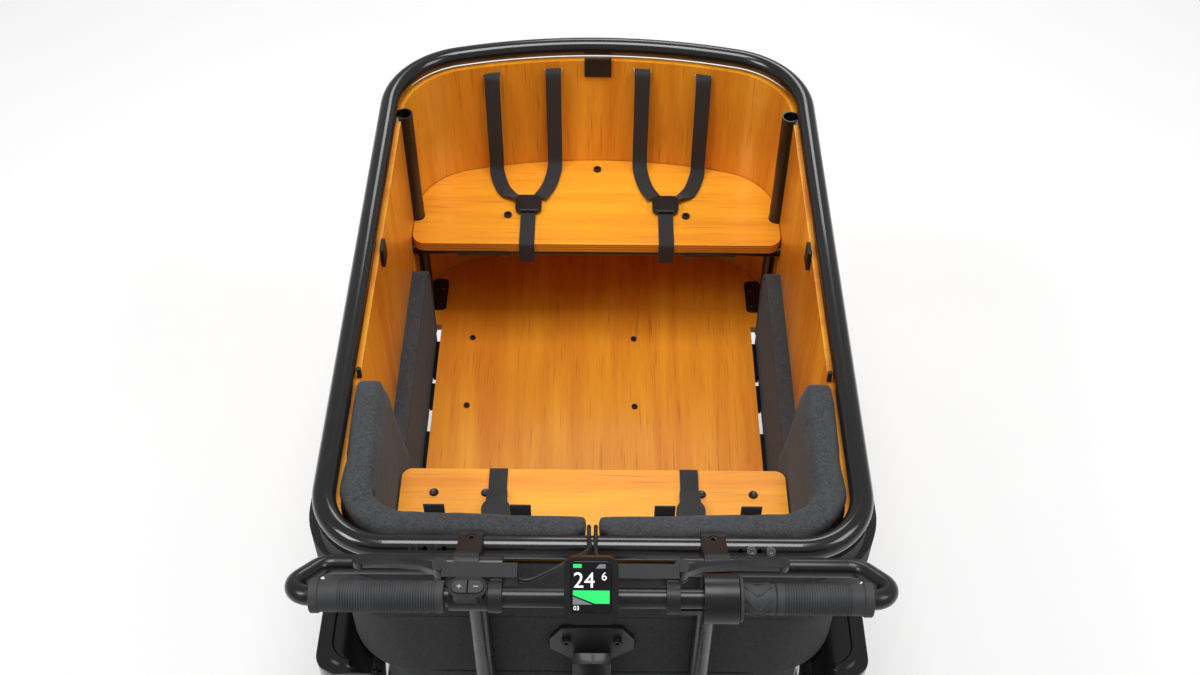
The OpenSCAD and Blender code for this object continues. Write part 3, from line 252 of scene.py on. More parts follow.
def plywood(name, light, dark, along, flat):
    """Clear-coated plywood: grain runs along one axis, the plies show on the cut edges of a flat board."""
    b = Brew(name, Coat_Roughness=0.18, Specular_IOR_Level=0.5)
    squeeze = [0.07 if i == along else 1.0 for i in range(3)]
    slow = [0.14 if i == along else 1.0 for i in range(3)]
    hair = [0.03 if i == along else 1.0 for i in range(3)]
    clouds = b.noise(b.stretch(slow), scale=3.2, detail=3.0, bend=1.4)
    bands = b.noise(b.stretch(squeeze), scale=17.0, detail=6.0, rough=0.6, bend=1.1)
    fibre = b.noise(b.stretch(hair), scale=190.0, detail=4.0, rough=0.7)
    pores = b.remap(b.noise(b.stretch(hair, location=(3, 5, 7)), scale=330.0, detail=2.0), 0.60, 0.72)
    figure = b.remap(clouds * 0.45 + bands * 0.42 + fibre * 0.13, 0.40, 0.60)
    face = b.tint(figure, dark, light)
    face = b.tint(pores * 0.5, face, [c * 0.45 for c in dark])
    if flat:
        normal_z = b.axes(b.node("ShaderNodeNewGeometry", {}, {}, 1))[2]
        side = 1.0 - b.remap(normal_z.math("ABSOLUTE"), 0.35, 0.75)
        ply = (b.axes()[2] * (2 * math.pi / 0.0051)).math("SINE") > 0.0
        grit = b.noise(scale=260.0, detail=3.0)
        layers = b.tint(ply, [c * 0.62 for c in dark], [c * 0.85 for c in light])
        face = b.tint(side, face, b.tint(b.remap(grit, 0.35, 0.7) * 0.4, layers, dark))
    height = bands * 0.35 + fibre * 0.65 - pores * 1.2
    return b.finish(Base_Color=face, Roughness=b.remap(figure, 0.0, 1.0, 0.42, 0.30) + pores * 0.15,
                    Coat_Weight=b.remap(clouds, 0.3, 0.7, 0.25, 0.4), Normal=b.bump(height, 0.0002, 0.5))


def wool_felt(name, light, dark):
    """Heather wool felt: mixed fibres, a soft nap and faint wear."""
    b = Brew(name, Specular_IOR_Level=0.2, Sheen_Weight=0.1, Sheen_Roughness=0.5)
    warp = b.noise(scale=260.0, detail=5.0, rough=0.75, bend=2.0)
    fleck = b.noise(b.stretch((1.0, 1.0, 0.35)), scale=620.0, detail=3.0, rough=0.8, bend=3.0)
    clump = b.noise(scale=115.0, detail=6.0, rough=0.85, bend=2.5)
    cloud = b.noise(scale=9.0, detail=4.0)
    nap = b.noise(scale=1300.0, detail=2.0)
    mix = b.remap(warp * 0.3 + fleck * 0.25 + clump * 0.35 + cloud * 0.1, 0.41, 0.60)
    return b.finish(Base_Color=b.tint(mix, dark, light), Roughness=b.remap(cloud, 0.3, 0.7, 0.9, 1.0),
                    Normal=b.bump(warp * 0.6 + fleck * 0.3 + nap * 0.1, 0.0012, 0.8))


def webbing(name, colour, pitch=0.0016):
    """Woven strap with ribs along its length and a cross weave."""
    b = Brew(name, Specular_IOR_Level=0.3, Sheen_Weight=0.1)
    uv = b.node("ShaderNodeUVMap", {}, {})
    across, length, _ = b.axes(uv)
    rib = (across * (2 * math.pi / pitch)).math("SINE")
    pick = ((length + across * 0.6) * (2 * math.pi / (pitch * 1.3))).math("SINE")
    weave = rib * 0.6 + pick * 0.4
    fuzz = b.noise(scale=700.0, detail=3.0)
    shaded = [c * 0.45 for c in colour]
    return b.finish(Base_Color=b.tint(b.remap(weave + fuzz - 0.5, -1.0, 1.0), shaded, colour),
                    Roughness=b.remap(fuzz, 0.3, 0.7, 0.55, 0.8),
                    Normal=b.bump(weave * 0.7 + fuzz * 0.3, 0.0005, 0.8))


def lit(name, colour, strength):
    """A lit area of the display, with its pixel grid."""
    b = Brew(name, Roughness=0.15, Emission_Strength=strength)
    grid = ((b.axes()[0] * 9000.0).math("SINE") * 0.06) + 0.94
    return b.finish(Base_Color=b.tint(grid, (0, 0, 0), [c * 0.3 for c in colour]),
                    Emission_Color=b.tint(grid, (0, 0, 0), colour))


# Scales a colour; the factors below 1 give the darker felt and plywood copies that are painted shade.
def shade_of(colour, factor):
    return [c * factor for c in colour]


MATERIALS = {}


def make_materials(scene):
    felt, wood = scene.bike_felt, scene.bike_wood
    black = (0.006, 0.006, 0.0065)
    MATERIALS.update({
        "tube": paint("gloss_black_tube", black, 0.18, 0.5),
        "bar": paint("satin_black_bar", (0.006, 0.006, 0.0065), 0.3, 0.15),
        "beam": paint("black_beam", (0.007, 0.007, 0.0075), 0.3, 0.2),
        "guard": paint("gloss_guard", (0.0045, 0.0045, 0.005), 0.14, 0.35),
        "steel": metal("turned_steel", (0.60, 0.61, 0.63), 0.28),
        "alloy": metal("satin_alloy", (0.42, 0.43, 0.45), 0.34),
        "anodised": metal("black_anodised", (0.035, 0.035, 0.038), 0.38, metallic=0.6),
        "motor": metal("cast_case", (0.06, 0.06, 0.065), 0.5, (9.0, 9.0, 9.0), 0.5),
        "plastic": plastic("matte_black_plastic", (0.009, 0.009, 0.0095), 0.45),
        "shine": plastic("satin_black_plastic", (0.007, 0.007, 0.0075), 0.32, 2200.0, 0.00005),
        "key": plastic("soft_grey_key", (0.030, 0.030, 0.032), 0.6),
        "mark": plastic("pale_mark", (0.45, 0.46, 0.47), 0.6),
        "red": plastic("red_lens", (0.45, 0.012, 0.010), 0.12, 300.0, 0.0003),
        "lamp": plastic("clear_lens", (0.62, 0.66, 0.70), 0.08, 260.0, 0.0003),
        "grip": rubber("grip_rubber", (0.030, 0.031, 0.033), 0.62),
        "tyre": rubber("tyre_rubber", (0.016, 0.016, 0.017), 0.78),
        "belt": rubber("belt_rubber", (0.012, 0.012, 0.013), 0.6),
        "hose": rubber("hose_jacket", (0.008, 0.008, 0.009), 0.38),
        "vinyl": rubber("saddle_vinyl", (0.018, 0.018, 0.019), 0.5),
        "felt": wool_felt("heather_felt", felt.light, felt.dark),
        # The outer felt is the same felt at 0.55 of its colours: painted shade on the outer walls, which get
        # less light.
        "outer_felt": wool_felt("shaded_outer_felt_cloth", shade_of(felt.light, 0.55), shade_of(felt.dark, 0.55)),
        "strap": webbing("black_webbing", (0.030, 0.031, 0.034)),
        "floor_wood": plywood("floor_plywood", wood.light, wood.dark, 1, True),
        "bench_wood": plywood("bench_plywood", wood.light, wood.dark, 0, True),
        # The walls' plywood is the floor's plywood made a little darker: painted shade on the upright boards,
        # which the overhead light reaches less.
        "shaded_wall_wood": plywood("shaded_wall_plywood", shade_of(wood.light, 0.94), shade_of(wood.dark, 0.9), 2, False),
        "screen": plastic("screen_glass", (0.004, 0.004, 0.005), 0.06, 100.0, 0.0),
        "digits": lit("lit_digits", (0.95, 0.97, 1.0), 1.2),
        "green": lit("lit_green", (0.03, 0.75, 0.16), 1.0),
        "dim": lit("lit_grey", (0.22, 0.24, 0.25), 0.7),
    })


# ---- mesh helpers ----

def new_object(name, bm, material, body, smooth=35.0):
    """Makes an object from a bmesh, in place, and lets it ride on its body."""
    mesh = bpy.data.meshes.new(name)
    bmesh.ops.recalc_face_normals(bm, faces=bm.faces)
    bm.to_mesh(mesh)
    bm.free()
    obj = bpy.data.objects.new(name, mesh)
    bpy.context.scene.collection.objects.link(obj)
    mesh.materials.append(MATERIALS[material])
    shade(mesh, smooth)
    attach(obj, body)
    return obj


def shade(mesh, degrees):
    for polygon in mesh.polygons:
        polygon.use_smooth = True
    mesh.set_sharp_from_angle(angle=math.radians(degrees))


def cad_mesh(node):
    """A merged copy of a CAD node, with its flat faces whole again."""
    bm = bmesh.new()
    bm.from_mesh(frame["nodes"][node].data)
    bmesh.ops.remove_doubles(bm, verts=bm.verts, dist=2e-5)
    bmesh.ops.dissolve_limit(bm, angle_limit=math.radians(1.0), verts=bm.verts, edges=bm.edges,
                             delimit={"NORMAL"})
    bm.normal_update()
    return bm


def islands(bm):
    """The separate solids of a bmesh, as lists of vertices, ordered by their middles."""
    left, found = set(bm.verts), []
    while left:
        stack, piece = [left.pop()], []
        while stack:
            v = stack.pop()
            piece.append(v)
            for edge in v.link_edges:
                other = edge.other_vert(v)
                if other in left:
                    left.remove(other)
                    stack.append(other)
        found.append(piece)
    return sorted(found, key=lambda p: tuple(round(sum(v.co[i] for v in p) / len(p), 4) for i in range(3)))


def rounded(node, material, width, segments=3):
    """A CAD node's copy with its hard edges rounded."""
    obj = new_object(node + "_shape", cad_mesh(node), material, BODY_OF[node])
    bevel = obj.modifiers.new("edges", "BEVEL")
    bevel.width = width
    bevel.segments = segments
    bevel.limit_method = "ANGLE"
    bevel.angle_limit = math.radians(38)
    bevel.use_clamp_overlap = True
    bevel.harden_normals = False
    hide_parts(node)
    return obj


def bake_modifiers(obj):
    """Applies an object's modifiers to its mesh."""
    deps = bpy.context.evaluated_depsgraph_get()
    deps.update()
    mesh = bpy.data.meshes.new_from_object(obj.evaluated_get(deps))
    mesh.name = obj.name
    obj.modifiers.clear()
    old = obj.data
    obj.data = mesh
    bpy.data.meshes.remove(old)
    return obj


def remesh(obj, voxel):
    m = obj.modifiers.new("remesh", "REMESH")
    m.mode = "VOXEL"
    m.voxel_size = voxel
    m.use_smooth_shade = True
    return bake_modifiers(obj)


def relax(obj, rounds):
    m = obj.modifiers.new("relax", "SMOOTH")
    m.factor = 0.5
    m.iterations = rounds
    return bake_modifiers(obj)


def swell(obj, inset, cap, voxel, rounds=6):
    """Remeshes a block, draws it in, and lets cloth under pressure fill it out by no more than cap."""
    remesh(obj, voxel)
    relax(obj, rounds)
    mesh = obj.data
    for v, normal in [(v, v.normal.copy()) for v in mesh.vertices]:
        v.co -= normal * inset
    rest = [v.co.copy() for v in mesh.vertices]
    cloth = obj.modifiers.new("cloth", "CLOTH")
    cloth.settings.use_pressure = True
    cloth.settings.uniform_pressure_force = 4.0
    cloth.settings.quality = 4
    cloth.settings.effector_weights.gravity = 0.0
    cloth.collision_settings.use_collision = False
    for number in range(1, 21):
        bpy.context.scene.frame_set(number)
    bake_modifiers(obj)
    bpy.context.scene.frame_set(1)
    for v, start in zip(obj.data.vertices, rest):
        move = v.co - start
        if move.length > cap:
            v.co = start + move * (cap / move.length)
    relax(obj, 3)
    for polygon in obj.data.polygons:
        polygon.use_smooth = True
    return obj


def lathe(profile, steps, centre=(0, 0, 0)):
    """Turns a profile of (distance along, radius) pairs round the X axis."""
    bm = bmesh.new()
    verts = [bm.verts.new((d, 0, r)) for d, r in profile]
    edges = [bm.edges.new(pair) for pair in zip(verts, verts[1:])]
    bmesh.ops.spin(bm, geom=verts + edges, cent=(0, 0, 0), axis=(1, 0, 0), angle=2 * math.pi, steps=steps,
                   use_merge=True)
    bmesh.ops.remove_doubles(bm, verts=bm.verts, dist=1e-6)
    bmesh.ops.translate(bm, verts=bm.verts, vec=centre)
    return bm


def curve_points(points, count):
    """Evenly numbered points on one smooth line through the given ones."""
    p = [Vector(q) for q in points]
    p = [p[0] * 2 - p[1]] + p + [p[-1] * 2 - p[-2]]
    out = []
    spans = len(points) - 1
    for k in range(count):
        t = k / (count - 1) * spans
        i = min(int(t), spans - 1)
        u = t - i
        a, b, c, d = p[i:i + 4]
        out.append(0.5 * (2 * b + (c - a) * u + (2 * a - 5 * b + 4 * c - d) * u * u
                          + (3 * b - a - 3 * c + d) * u ** 3))
    return out


def strap(name, points, across, width, thick, body, node, count):
    """A webbing strap swept along a line; across is its width direction at each end, blended between."""
    line = curve_points(points, count)
    bm = bmesh.new()
    uv = bm.loops.layers.uv.new("UVMap")
    lanes = (-0.5, -0.42, -0.2, 0.2, 0.42, 0.5)
    first, last = Vector(across[0]).normalized(), Vector(across[1]).normalized()
    row = None
    run = 0.0
    for k, centre in enumerate(line):
        ahead = (line[min(k + 1, count - 1)] - line[max(k - 1, 0)]).normalized()
        side = first.lerp(last, k / (count - 1))
        side = (side - ahead * side.dot(ahead)).normalized()
        if k:
            run += (centre - line[k - 1]).length
        if row is None:
            verts = [bm.verts.new(centre + side * width * lane) for lane in lanes]
            edges = [bm.edges.new(pair) for pair in zip(verts, verts[1:])]
            row = (verts, edges)
        else:
            made = bmesh.ops.extrude_edge_only(bm, edges=row[1])["geom"]
            verts = [v for v in made if isinstance(v, bmesh.types.BMVert)]
            edges = [e for e in made if isinstance(e, bmesh.types.BMEdge)]
            before = line[k - 1]
            verts.sort(key=lambda v: (v.co - before).dot(old_side))
            for v, lane in zip(verts, lanes):
                v.co = centre + side * width * lane
            for face in {f for v in verts for f in v.link_faces}:
                for loop in face.loops:
                    fresh = loop.vert in verts
                    spot = centre if fresh else before
                    along = run if fresh else run - (centre - before).length
                    loop[uv].uv = ((loop.vert.co - spot).dot(side), along)
            row = (verts, edges)
        old_side = side
    obj = new_object(name, bm, "strap", body, 60.0)
    solid = obj.modifiers.new("thickness", "SOLIDIFY")
    solid.thickness = thick
    solid.offset = 0.0
    soft = obj.modifiers.new("edge", "BEVEL")
    soft.width = thick * 0.3
    soft.segments = 2
    soft.limit_method = "ANGLE"
    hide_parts(node)
    return obj


def block(bm, low, high, radius=0.0, segments=2):
    """A rounded block between two corners."""
    low, high = Vector(low), Vector(high)
    made = bmesh.ops.create_cube(bm, size=1.0)["verts"]
    bmesh.ops.scale(bm, vec=high - low, verts=made)
    bmesh.ops.translate(bm, vec=(low + high) / 2, verts=made)
    if radius:
        edges = list({e for v in made for e in v.link_edges})
        bmesh.ops.bevel(bm, geom=edges, offset=radius, segments=segments, profile=0.5, affect="EDGES",
                        clamp_overlap=True, material=-1)


def paint_node(node, material):
    """Gives a CAD node its material."""
    data = frame["nodes"][node].data
    data.materials.clear()
    data.materials.append(MATERIALS[material])


# ---- pieces ----

class BIKE_OT_metalwork(bpy.types.Operator):
    """Paints the tubes, frames and shafts that keep their shape"""
    bl_idname = "bike.metalwork"
    bl_label = "Metalwork"

    def execute(self, context):
        for material, nodes in {
            "tube": ("rim_tube",),
            "bar": ("handlebar",),
            "beam": ("main_frame", "rear_stays", "floor_frame", "posts_and_crossbars"),
            "steel": ("pivot_bearings", "rear_axle", "pivot_pin"),
            "alloy": ("front_pulley", "rear_pulley"),
            "belt": ("belt",),
        }.items():
            for node in nodes:
                paint_node(node, material)
        for node, material, width in (
            ("spine_plate", "beam", 0.0016), ("bar_brackets", "plastic", 0.0030),
            ("bench_brackets", "beam", 0.0012), ("seat_clamp", "steel", 0.0012),
            ("box_bolts", "anodised", 0.0006), ("seatpost", "anodised", 0.001),
            ("crank_set", "anodised", 0.0022), ("pedal_left", "anodised", 0.0015),
            ("pedal_right", "anodised", 0.0015), ("rear_caliper", "anodised", 0.003),
            ("front_calipers", "anodised", 0.003),
        ):
            rounded(node, material, width, 2)
        self.bright_bolts()
        self.bench_bolts()
        return {"FINISHED"}

    def bench_bolts(self):
        """Four domed bolts near the front edge of the rear bench."""
        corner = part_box("rear_bench")[1]
        bm = bmesh.new()
        for x in (-0.216, -0.146, 0.146, 0.216):
            made = bmesh.ops.create_cone(bm, cap_ends=True, segments=24, radius1=0.0065,
                                         radius2=0.0052, depth=0.003)["verts"]
            bmesh.ops.translate(bm, vec=(x, corner.y - 0.040, corner.z + 0.0014), verts=made)
            top = [f for f in bm.faces if f.normal.z > 0.9 and abs(f.calc_center_median().x - x) < 0.004]
            bmesh.ops.inset_region(bm, faces=top, thickness=0.0026, depth=0.0)
            bmesh.ops.translate(bm, vec=(0, 0, -0.0014), verts=list({v for f in top for v in f.verts}))
        new_object("rear_bench_bolts", bm, "anodised", BODY_OF["rear_bench"])

    def bright_bolts(self):
        """The two rim bolts on the right are bright, and the rest of the bolts stay black."""
        obj = bpy.data.objects["box_bolts_shape"]
        obj.data.materials.append(MATERIALS["steel"])
        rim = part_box("rim_tube")[0]
        for polygon in obj.data.polygons:
            if polygon.center.x > 0.16 and polygon.center.z > rim.z and polygon.center.y < rim.y + 0.06:
                polygon.material_index = 1


class BIKE_OT_plastics(bpy.types.Operator):
    """Rounds the moulded covers, guards, clips and lamps"""
    bl_idname = "bike.plastics"
    bl_label = "Moulded parts"

    def execute(self, context):
        for node, material, width in (
            ("motor_unit", "motor", 0.006), ("battery_pack", "shine", 0.006),
            ("rear_mudguard", "guard", 0.0012), ("mudguards", "guard", 0.0014),
            ("rear_light", "red", 0.003), ("rim_clips", "plastic", 0.0015),
            ("front_buckles", "plastic", 0.0025), ("rear_buckles", "plastic", 0.0025),
            ("shifter_housing", "shine", 0.004), ("brake_bodies", "plastic", 0.003),
            ("brake_lever_left", "shine", 0.0025), ("brake_lever_right", "shine", 0.0025),
            ("control_housings", "shine", 0.003), ("remote_plus", "key", 0.001),
            ("remote_minus", "key", 0.001), ("headlight", "plastic", 0.004),
        ):
            rounded(node, material, width)
        return {"FINISHED"}


class BIKE_OT_boards(bpy.types.Operator):
    """Gives the plywood boards their grain and rounds the benches"""
    bl_idname = "bike.boards"
    bl_label = "Plywood boards"

    def execute(self, context):
        # The upright panels take the darker plywood copy, which is painted shade.
        paint_node("front_panel", "shaded_wall_wood")
        paint_node("wall_panel", "shaded_wall_wood")
        paint_node("floor_panel", "floor_wood")
        edge = context.scene.bike_wood.edge
        rounded("front_bench", "bench_wood", edge, 3)
        rounded("rear_bench", "bench_wood", edge, 3)
        return {"FINISHED"}


class BIKE_OT_cushions(bpy.types.Operator):
    """Fills out the backrest and the saddle, and softens the armrests and the felt walls"""
    bl_idname = "bike.cushions"
    bl_label = "Cushions and felt"

    def execute(self, context):
        felt = context.scene.bike_felt
        for side, name in enumerate(("backrest_left", "backrest_right")):
            pad = self.block("backrest_cushions", side, name, "felt")
            swell(pad, 0.003, felt.puff, felt.voxel, 14)
            self.make_room(pad)
        for side, name in enumerate(("ledge_left", "ledge_right")):
            self.soften(self.block("side_bolsters", side, name, "felt"), 0.003)
        count = len(islands(cad_mesh("outer_felt")))
        for index in range(count):
            # The outer felt walls take the darker felt copy, which is painted shade.
            wall = self.block("outer_felt", index, f"felt_wall_{index + 1}", "outer_felt")
            self.soften(wall, 0.0035)
        seat = self.block("saddle", 0, "saddle_cover", "vinyl")
        swell(seat, 0.006, 0.006, 0.006)
        relax(seat, 14)
        return {"FINISHED"}

    def make_room(self, pad):
        """Keeps the front of the backrest and its inner corners behind the folding bench and the straps."""
        gap, side_gap, reach, corner = 0.001, 0.006, 0.012, 0.040
        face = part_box("harness_straps")[0].y - gap
        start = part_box("rear_bench")[1].x + side_gap - corner
        for v in pad.data.vertices:
            depth = min(max(abs(v.co.x) - start, 0.0), corner)
            limit = face + corner - math.sqrt(corner * corner - depth * depth)
            if abs(v.co.x) < start + corner and limit < v.co.y < limit + reach:
                v.co.y = limit

    def block(self, node, index, name, material):
        bm = cad_mesh(node)
        keep = set(islands(bm)[index])
        bmesh.ops.delete(bm, geom=[v for v in bm.verts if v not in keep], context="VERTS")
        obj = new_object(name, bm, material, BODY_OF[node])
        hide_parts(node)
        return obj

    def soften(self, obj, width):
        bevel = obj.modifiers.new("edges", "BEVEL")
        bevel.width = width
        bevel.segments = 4
        bevel.limit_method = "ANGLE"
        bevel.angle_limit = math.radians(40)
        bevel.use_clamp_overlap = True


class BIKE_OT_harness(bpy.types.Operator):
    """Makes the harness straps of both benches"""
    bl_idname = "bike.harness"
    bl_label = "Harness straps"

    def execute(self, context):
        low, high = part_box("harness_straps")
        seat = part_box("front_bench")[1].z
        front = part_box("front_bench")[0].y
        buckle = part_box("front_buckles")
        by = (buckle[0].y + buckle[1].y) / 2
        rear = high.y
        width, thick = 0.025, 0.0022
        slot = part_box("rim_tube")[1].z - 0.0453     # middle of the slots in the front panel
        for s in (-1, 1):
            for x, foot in ((0.1725, 0.131), (0.073, 0.097)):
                wall = rear - 0.005 - (x * x) * 0.58
                points = [(s * x, wall + 0.015, slot), (s * x, wall + 0.005, slot),
                          (s * x, wall - 0.002, slot - 0.016), (s * x, wall - 0.006, (slot + seat) / 2),
                          (s * x, wall - 0.006, seat + 0.030),
                          (s * (x * 0.96 + foot * 0.04), wall - 0.020, seat + 0.006),
                          (s * (x * 0.6 + foot * 0.4), wall - 0.060, seat + 0.0035),
                          (s * foot, by + 0.018, seat + 0.006)]
                strap(f"shoulder_{'left' if s < 0 else 'right'}_{round(x * 1000)}", points,
                      ((1, 0, 0), (1, s * (0.35 if x > 0.1 else -0.2), 0)), width, thick, "front_box",
                      "harness_straps", 64)
            edge = [(s * 0.115, by - 0.012, seat + 0.006), (s * 0.115, front + 0.030, seat + 0.0022),
                    (s * 0.115, front + 0.004, seat + 0.0018), (s * 0.115, front - 0.0032, seat - 0.006),
                    (s * 0.115, front - 0.0030, seat - 0.038)]
            strap(f"crotch_front_{'left' if s < 0 else 'right'}", edge, ((1, 0, 0), (1, 0, 0)), width, thick,
                  "front_box", "harness_straps", 40)
            back = Vector((0, low.y + 0.0005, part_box("backrest_cushions")[1].z))
            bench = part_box("rear_bench")[1].z
            for x in (0.086, 0.189):
                line = [(s * x, back.y + 0.0015, back.z - 0.004), (s * x, back.y + 0.0022, back.z - 0.05),
                        (s * x, back.y + 0.0022, bench + 0.08), (s * x, back.y + 0.0022, bench + 0.017)]
                strap(f"shoulder_rear_{'left' if s < 0 else 'right'}_{round(x * 1000)}", line,
                      ((1, 0, 0), (1, 0, 0)), width, thick, "front_box", "harness_straps", 24)
            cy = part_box("rear_bench")[1].y
            line = [(s * 0.130, cy - 0.088, bench + 0.0022), (s * 0.130, cy - 0.030, bench + 0.0022),
                    (s * 0.130, cy - 0.004, bench + 0.0018), (s * 0.130, cy + 0.0018, bench - 0.006),
                    (s * 0.130, cy + 0.0016, bench - 0.029)]
            strap(f"crotch_rear_{'left' if s < 0 else 'right'}", line, ((1, 0, 0), (1, 0, 0)), width, thick,
                  "rear_bench", "crotch_straps", 36)
        return {"FINISHED"}


class BIKE_OT_grips(bpy.types.Operator):
    """Makes the ringed grips and the twist grip"""
    bl_idname = "bike.grips"
    bl_label = "Grips"

    def execute(self, context):
        g = context.scene.bike_grip
        low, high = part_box("grips")
        y, z = (low.y + high.y) / 2, (low.z + high.z) / 2
        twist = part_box("shifter_grip")
        inner = 0.01116
        left = self.profile(0.159, -low.x, 0.0175, 0.0188, inner, g, 0.020)
        bm = lathe(left, g.steps, centre=(0, y, z))
        bmesh.ops.mirror(bm, geom=bm.verts[:] + bm.edges[:] + bm.faces[:],
                         matrix=Matrix.Identity(4), merge_dist=-1, axis="X")
        bmesh.ops.delete(bm, geom=[v for v in bm.verts if v.co.x > 0], context="VERTS")
        obj = new_object("grip_left", bm, "grip", "front_box")
        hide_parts("grips")
        right = self.profile(twist[1].x + 0.0003, high.x, 0.0172, 0.0188, inner, g, 0.012)
        obj = new_object("grip_right", lathe(right, g.steps, centre=(0, y, z)), "grip", "front_box")
        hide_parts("grips")
        self.twist(twist, y, z, inner, g)
        return {"FINISHED"}

    def profile(self, start, end, radius, flange, inner, g, smooth):
        """Rings between a plain sleeve at the inner end and the flange at the outer end."""
        p = [(start, inner), (start, radius - 0.001), (start + 0.001, radius), (start + 0.006, radius)]
        x = start + 0.0075
        stop = end - 0.010 - smooth
        while x + g.pitch < stop:
            p += [(x, radius), (x + g.pitch * 0.5, radius), (x + g.pitch * 0.62, radius - g.depth),
                  (x + g.pitch * 0.88, radius - g.depth)]
            x += g.pitch
        p += [(x, radius), (end - 0.0102, radius), (end - 0.0098, flange - 0.0006), (end - 0.009, flange),
              (end - 0.001, flange), (end, flange - 0.001), (end, inner)]
        return p

    def twist(self, box, y, z, inner, g):
        """Chevrons stand out round the twist grip, between a disc and a smooth end."""
        x0, x1 = box[0].x, box[1].x
        profile = [(x0, inner), (x0, 0.0242), (x0 + 0.0008, 0.025), (x0 + 0.0032, 0.025),
                   (x0 + 0.004, 0.0242), (x0 + 0.0045, 0.0168), (x1 - 0.001, 0.0168), (x1, 0.016),
                   (x1, inner)]
        bm = lathe(profile, 64, centre=(0, y, z))
        ribs = 7
        for k in range(ribs):
            for flip in (-1, 1):
                part = bmesh.new()
                block(part, (-0.0088, -0.0014, 0.0161), (0.0088, 0.0014, 0.0176), 0.0005, 1)
                bmesh.ops.rotate(part, verts=part.verts, cent=(0, 0, 0.0175),
                                 matrix=Matrix.Rotation(flip * 0.72, 3, "Z"))
                bmesh.ops.translate(part, verts=part.verts, vec=(x0 + 0.0200 + flip * 0.0072, 0, 0))
                bmesh.ops.rotate(part, verts=part.verts, cent=(0, 0, 0),
                                 matrix=Matrix.Rotation(2 * math.pi * k / ribs, 3, "X"))
                bmesh.ops.translate(part, verts=part.verts, vec=(0, y, z))
                holder = bpy.data.meshes.new("chevron")
                part.to_mesh(holder)
                part.free()
                bm.from_mesh(holder)
                bpy.data.meshes.remove(holder)
        obj = new_object("twist_grip_shape", bm, "grip", "twist_grip")
        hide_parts("shifter_grip")


class BIKE_OT_tyres(bpy.types.Operator):
    """Makes the tyres with their grooves and blocks, and finishes the wheels"""
    bl_idname = "bike.tyres"
    bl_label = "Tyres and wheels"

    def execute(self, context):
        t = context.scene.bike_tyre
        for node, body, blocks in (("tyre_left", "front_wheel_left", t.blocks),
                                   ("tyre_right", "front_wheel_right", t.blocks),
                                   ("rear_tyre", "rear_wheel", round(t.blocks * 1.3))):
            low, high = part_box(node)
            centre = (low + high) / 2
            outer = (high.z - low.z) / 2
            half = (high.x - low.x) / 2
            self.tyre(node, body, centre, outer, half, blocks, t.groove)
        for node, tyre in (("wheel_left", "tyre_left"), ("wheel_right", "tyre_right"),
                           ("rear_wheel", "rear_tyre")):
            low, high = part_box(tyre)
            self.wheel(node, (low + high) / 2, (high.z - low.z) / 2)
        return {"FINISHED"}

    def tyre(self, node, body, centre, outer, half, blocks, groove):
        ring = outer - half
        profile = []
        for degrees in range(-128, 129, 4):
            a = math.radians(degrees)
            r = half - (groove if abs(abs(degrees) - 16) < 3 or abs(abs(degrees) - 44) < 3 else 0.0)
            profile.append((math.sin(a) * r, ring + math.cos(a) * r))
        bm = lathe(profile, blocks * 4)
        cuts = []
        for face in bm.faces:
            c = face.calc_center_median()
            spoke = math.atan2(c.y, c.z)
            radius = math.hypot(c.y, c.z)
            slope = math.degrees(math.atan2(c.x, radius - ring))
            turn = int(round((spoke + math.pi) / (2 * math.pi) * blocks * 4 - 0.5))
            shift = 0 if abs(slope) < 14 else 2
            if (turn + shift) % 4 == 0 and 18 < abs(slope) < 42 or turn % 4 == 1 and 46 < abs(slope) < 62:
                cuts.append(face)
        bmesh.ops.inset_region(bm, faces=cuts, thickness=0.0004, depth=0.0, use_even_offset=True)
        moved = {v for f in cuts for v in f.verts}
        for v in moved:
            reach = 1 - ring / math.hypot(v.co.y, v.co.z)
            out = Vector((v.co.x, 0, 0)) + Vector((0, v.co.y, v.co.z)) * reach
            v.co -= out.normalized() * groove
        bmesh.ops.translate(bm, verts=bm.verts, vec=centre)
        obj = new_object(node + "_shape", bm, "tyre", body, 40.0)
        solid = obj.modifiers.new("wall", "SOLIDIFY")
        solid.thickness = 0.0028
        solid.offset = -1.0
        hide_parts(node)

    def wheel(self, node, centre, outer):
        """Black rim, bright spokes and disc, told apart by their distance from the axle."""
        b = Brew(node + "_finish")
        _, y, z = b.axes(b.stretch((1, 1, 1), location=tuple(-c for c in centre)))
        radius = (y * y + z * z).math("SQRT")
        rim = radius > (outer - 0.064)
        hub = radius < 0.031
        turned = b.noise(b.stretch((1, 1, 1)), scale=120.0, detail=4.0)
        lines = (radius * 5200.0).math("SINE") * 0.5 + 0.5
        black = (rim + hub).clip()
        b.finish(Base_Color=b.tint(black, (0.50, 0.51, 0.53), (0.012, 0.012, 0.013)),
                 Roughness=b.remap(turned, 0.3, 0.7, 0.24, 0.36) + black * 0.06,
                 Metallic=1.0 - black * 0.6, Normal=b.bump(lines * 0.4 + turned * 0.6, 0.00004, 0.5))
        MATERIALS[node] = b.mat
        paint_node(node, node)


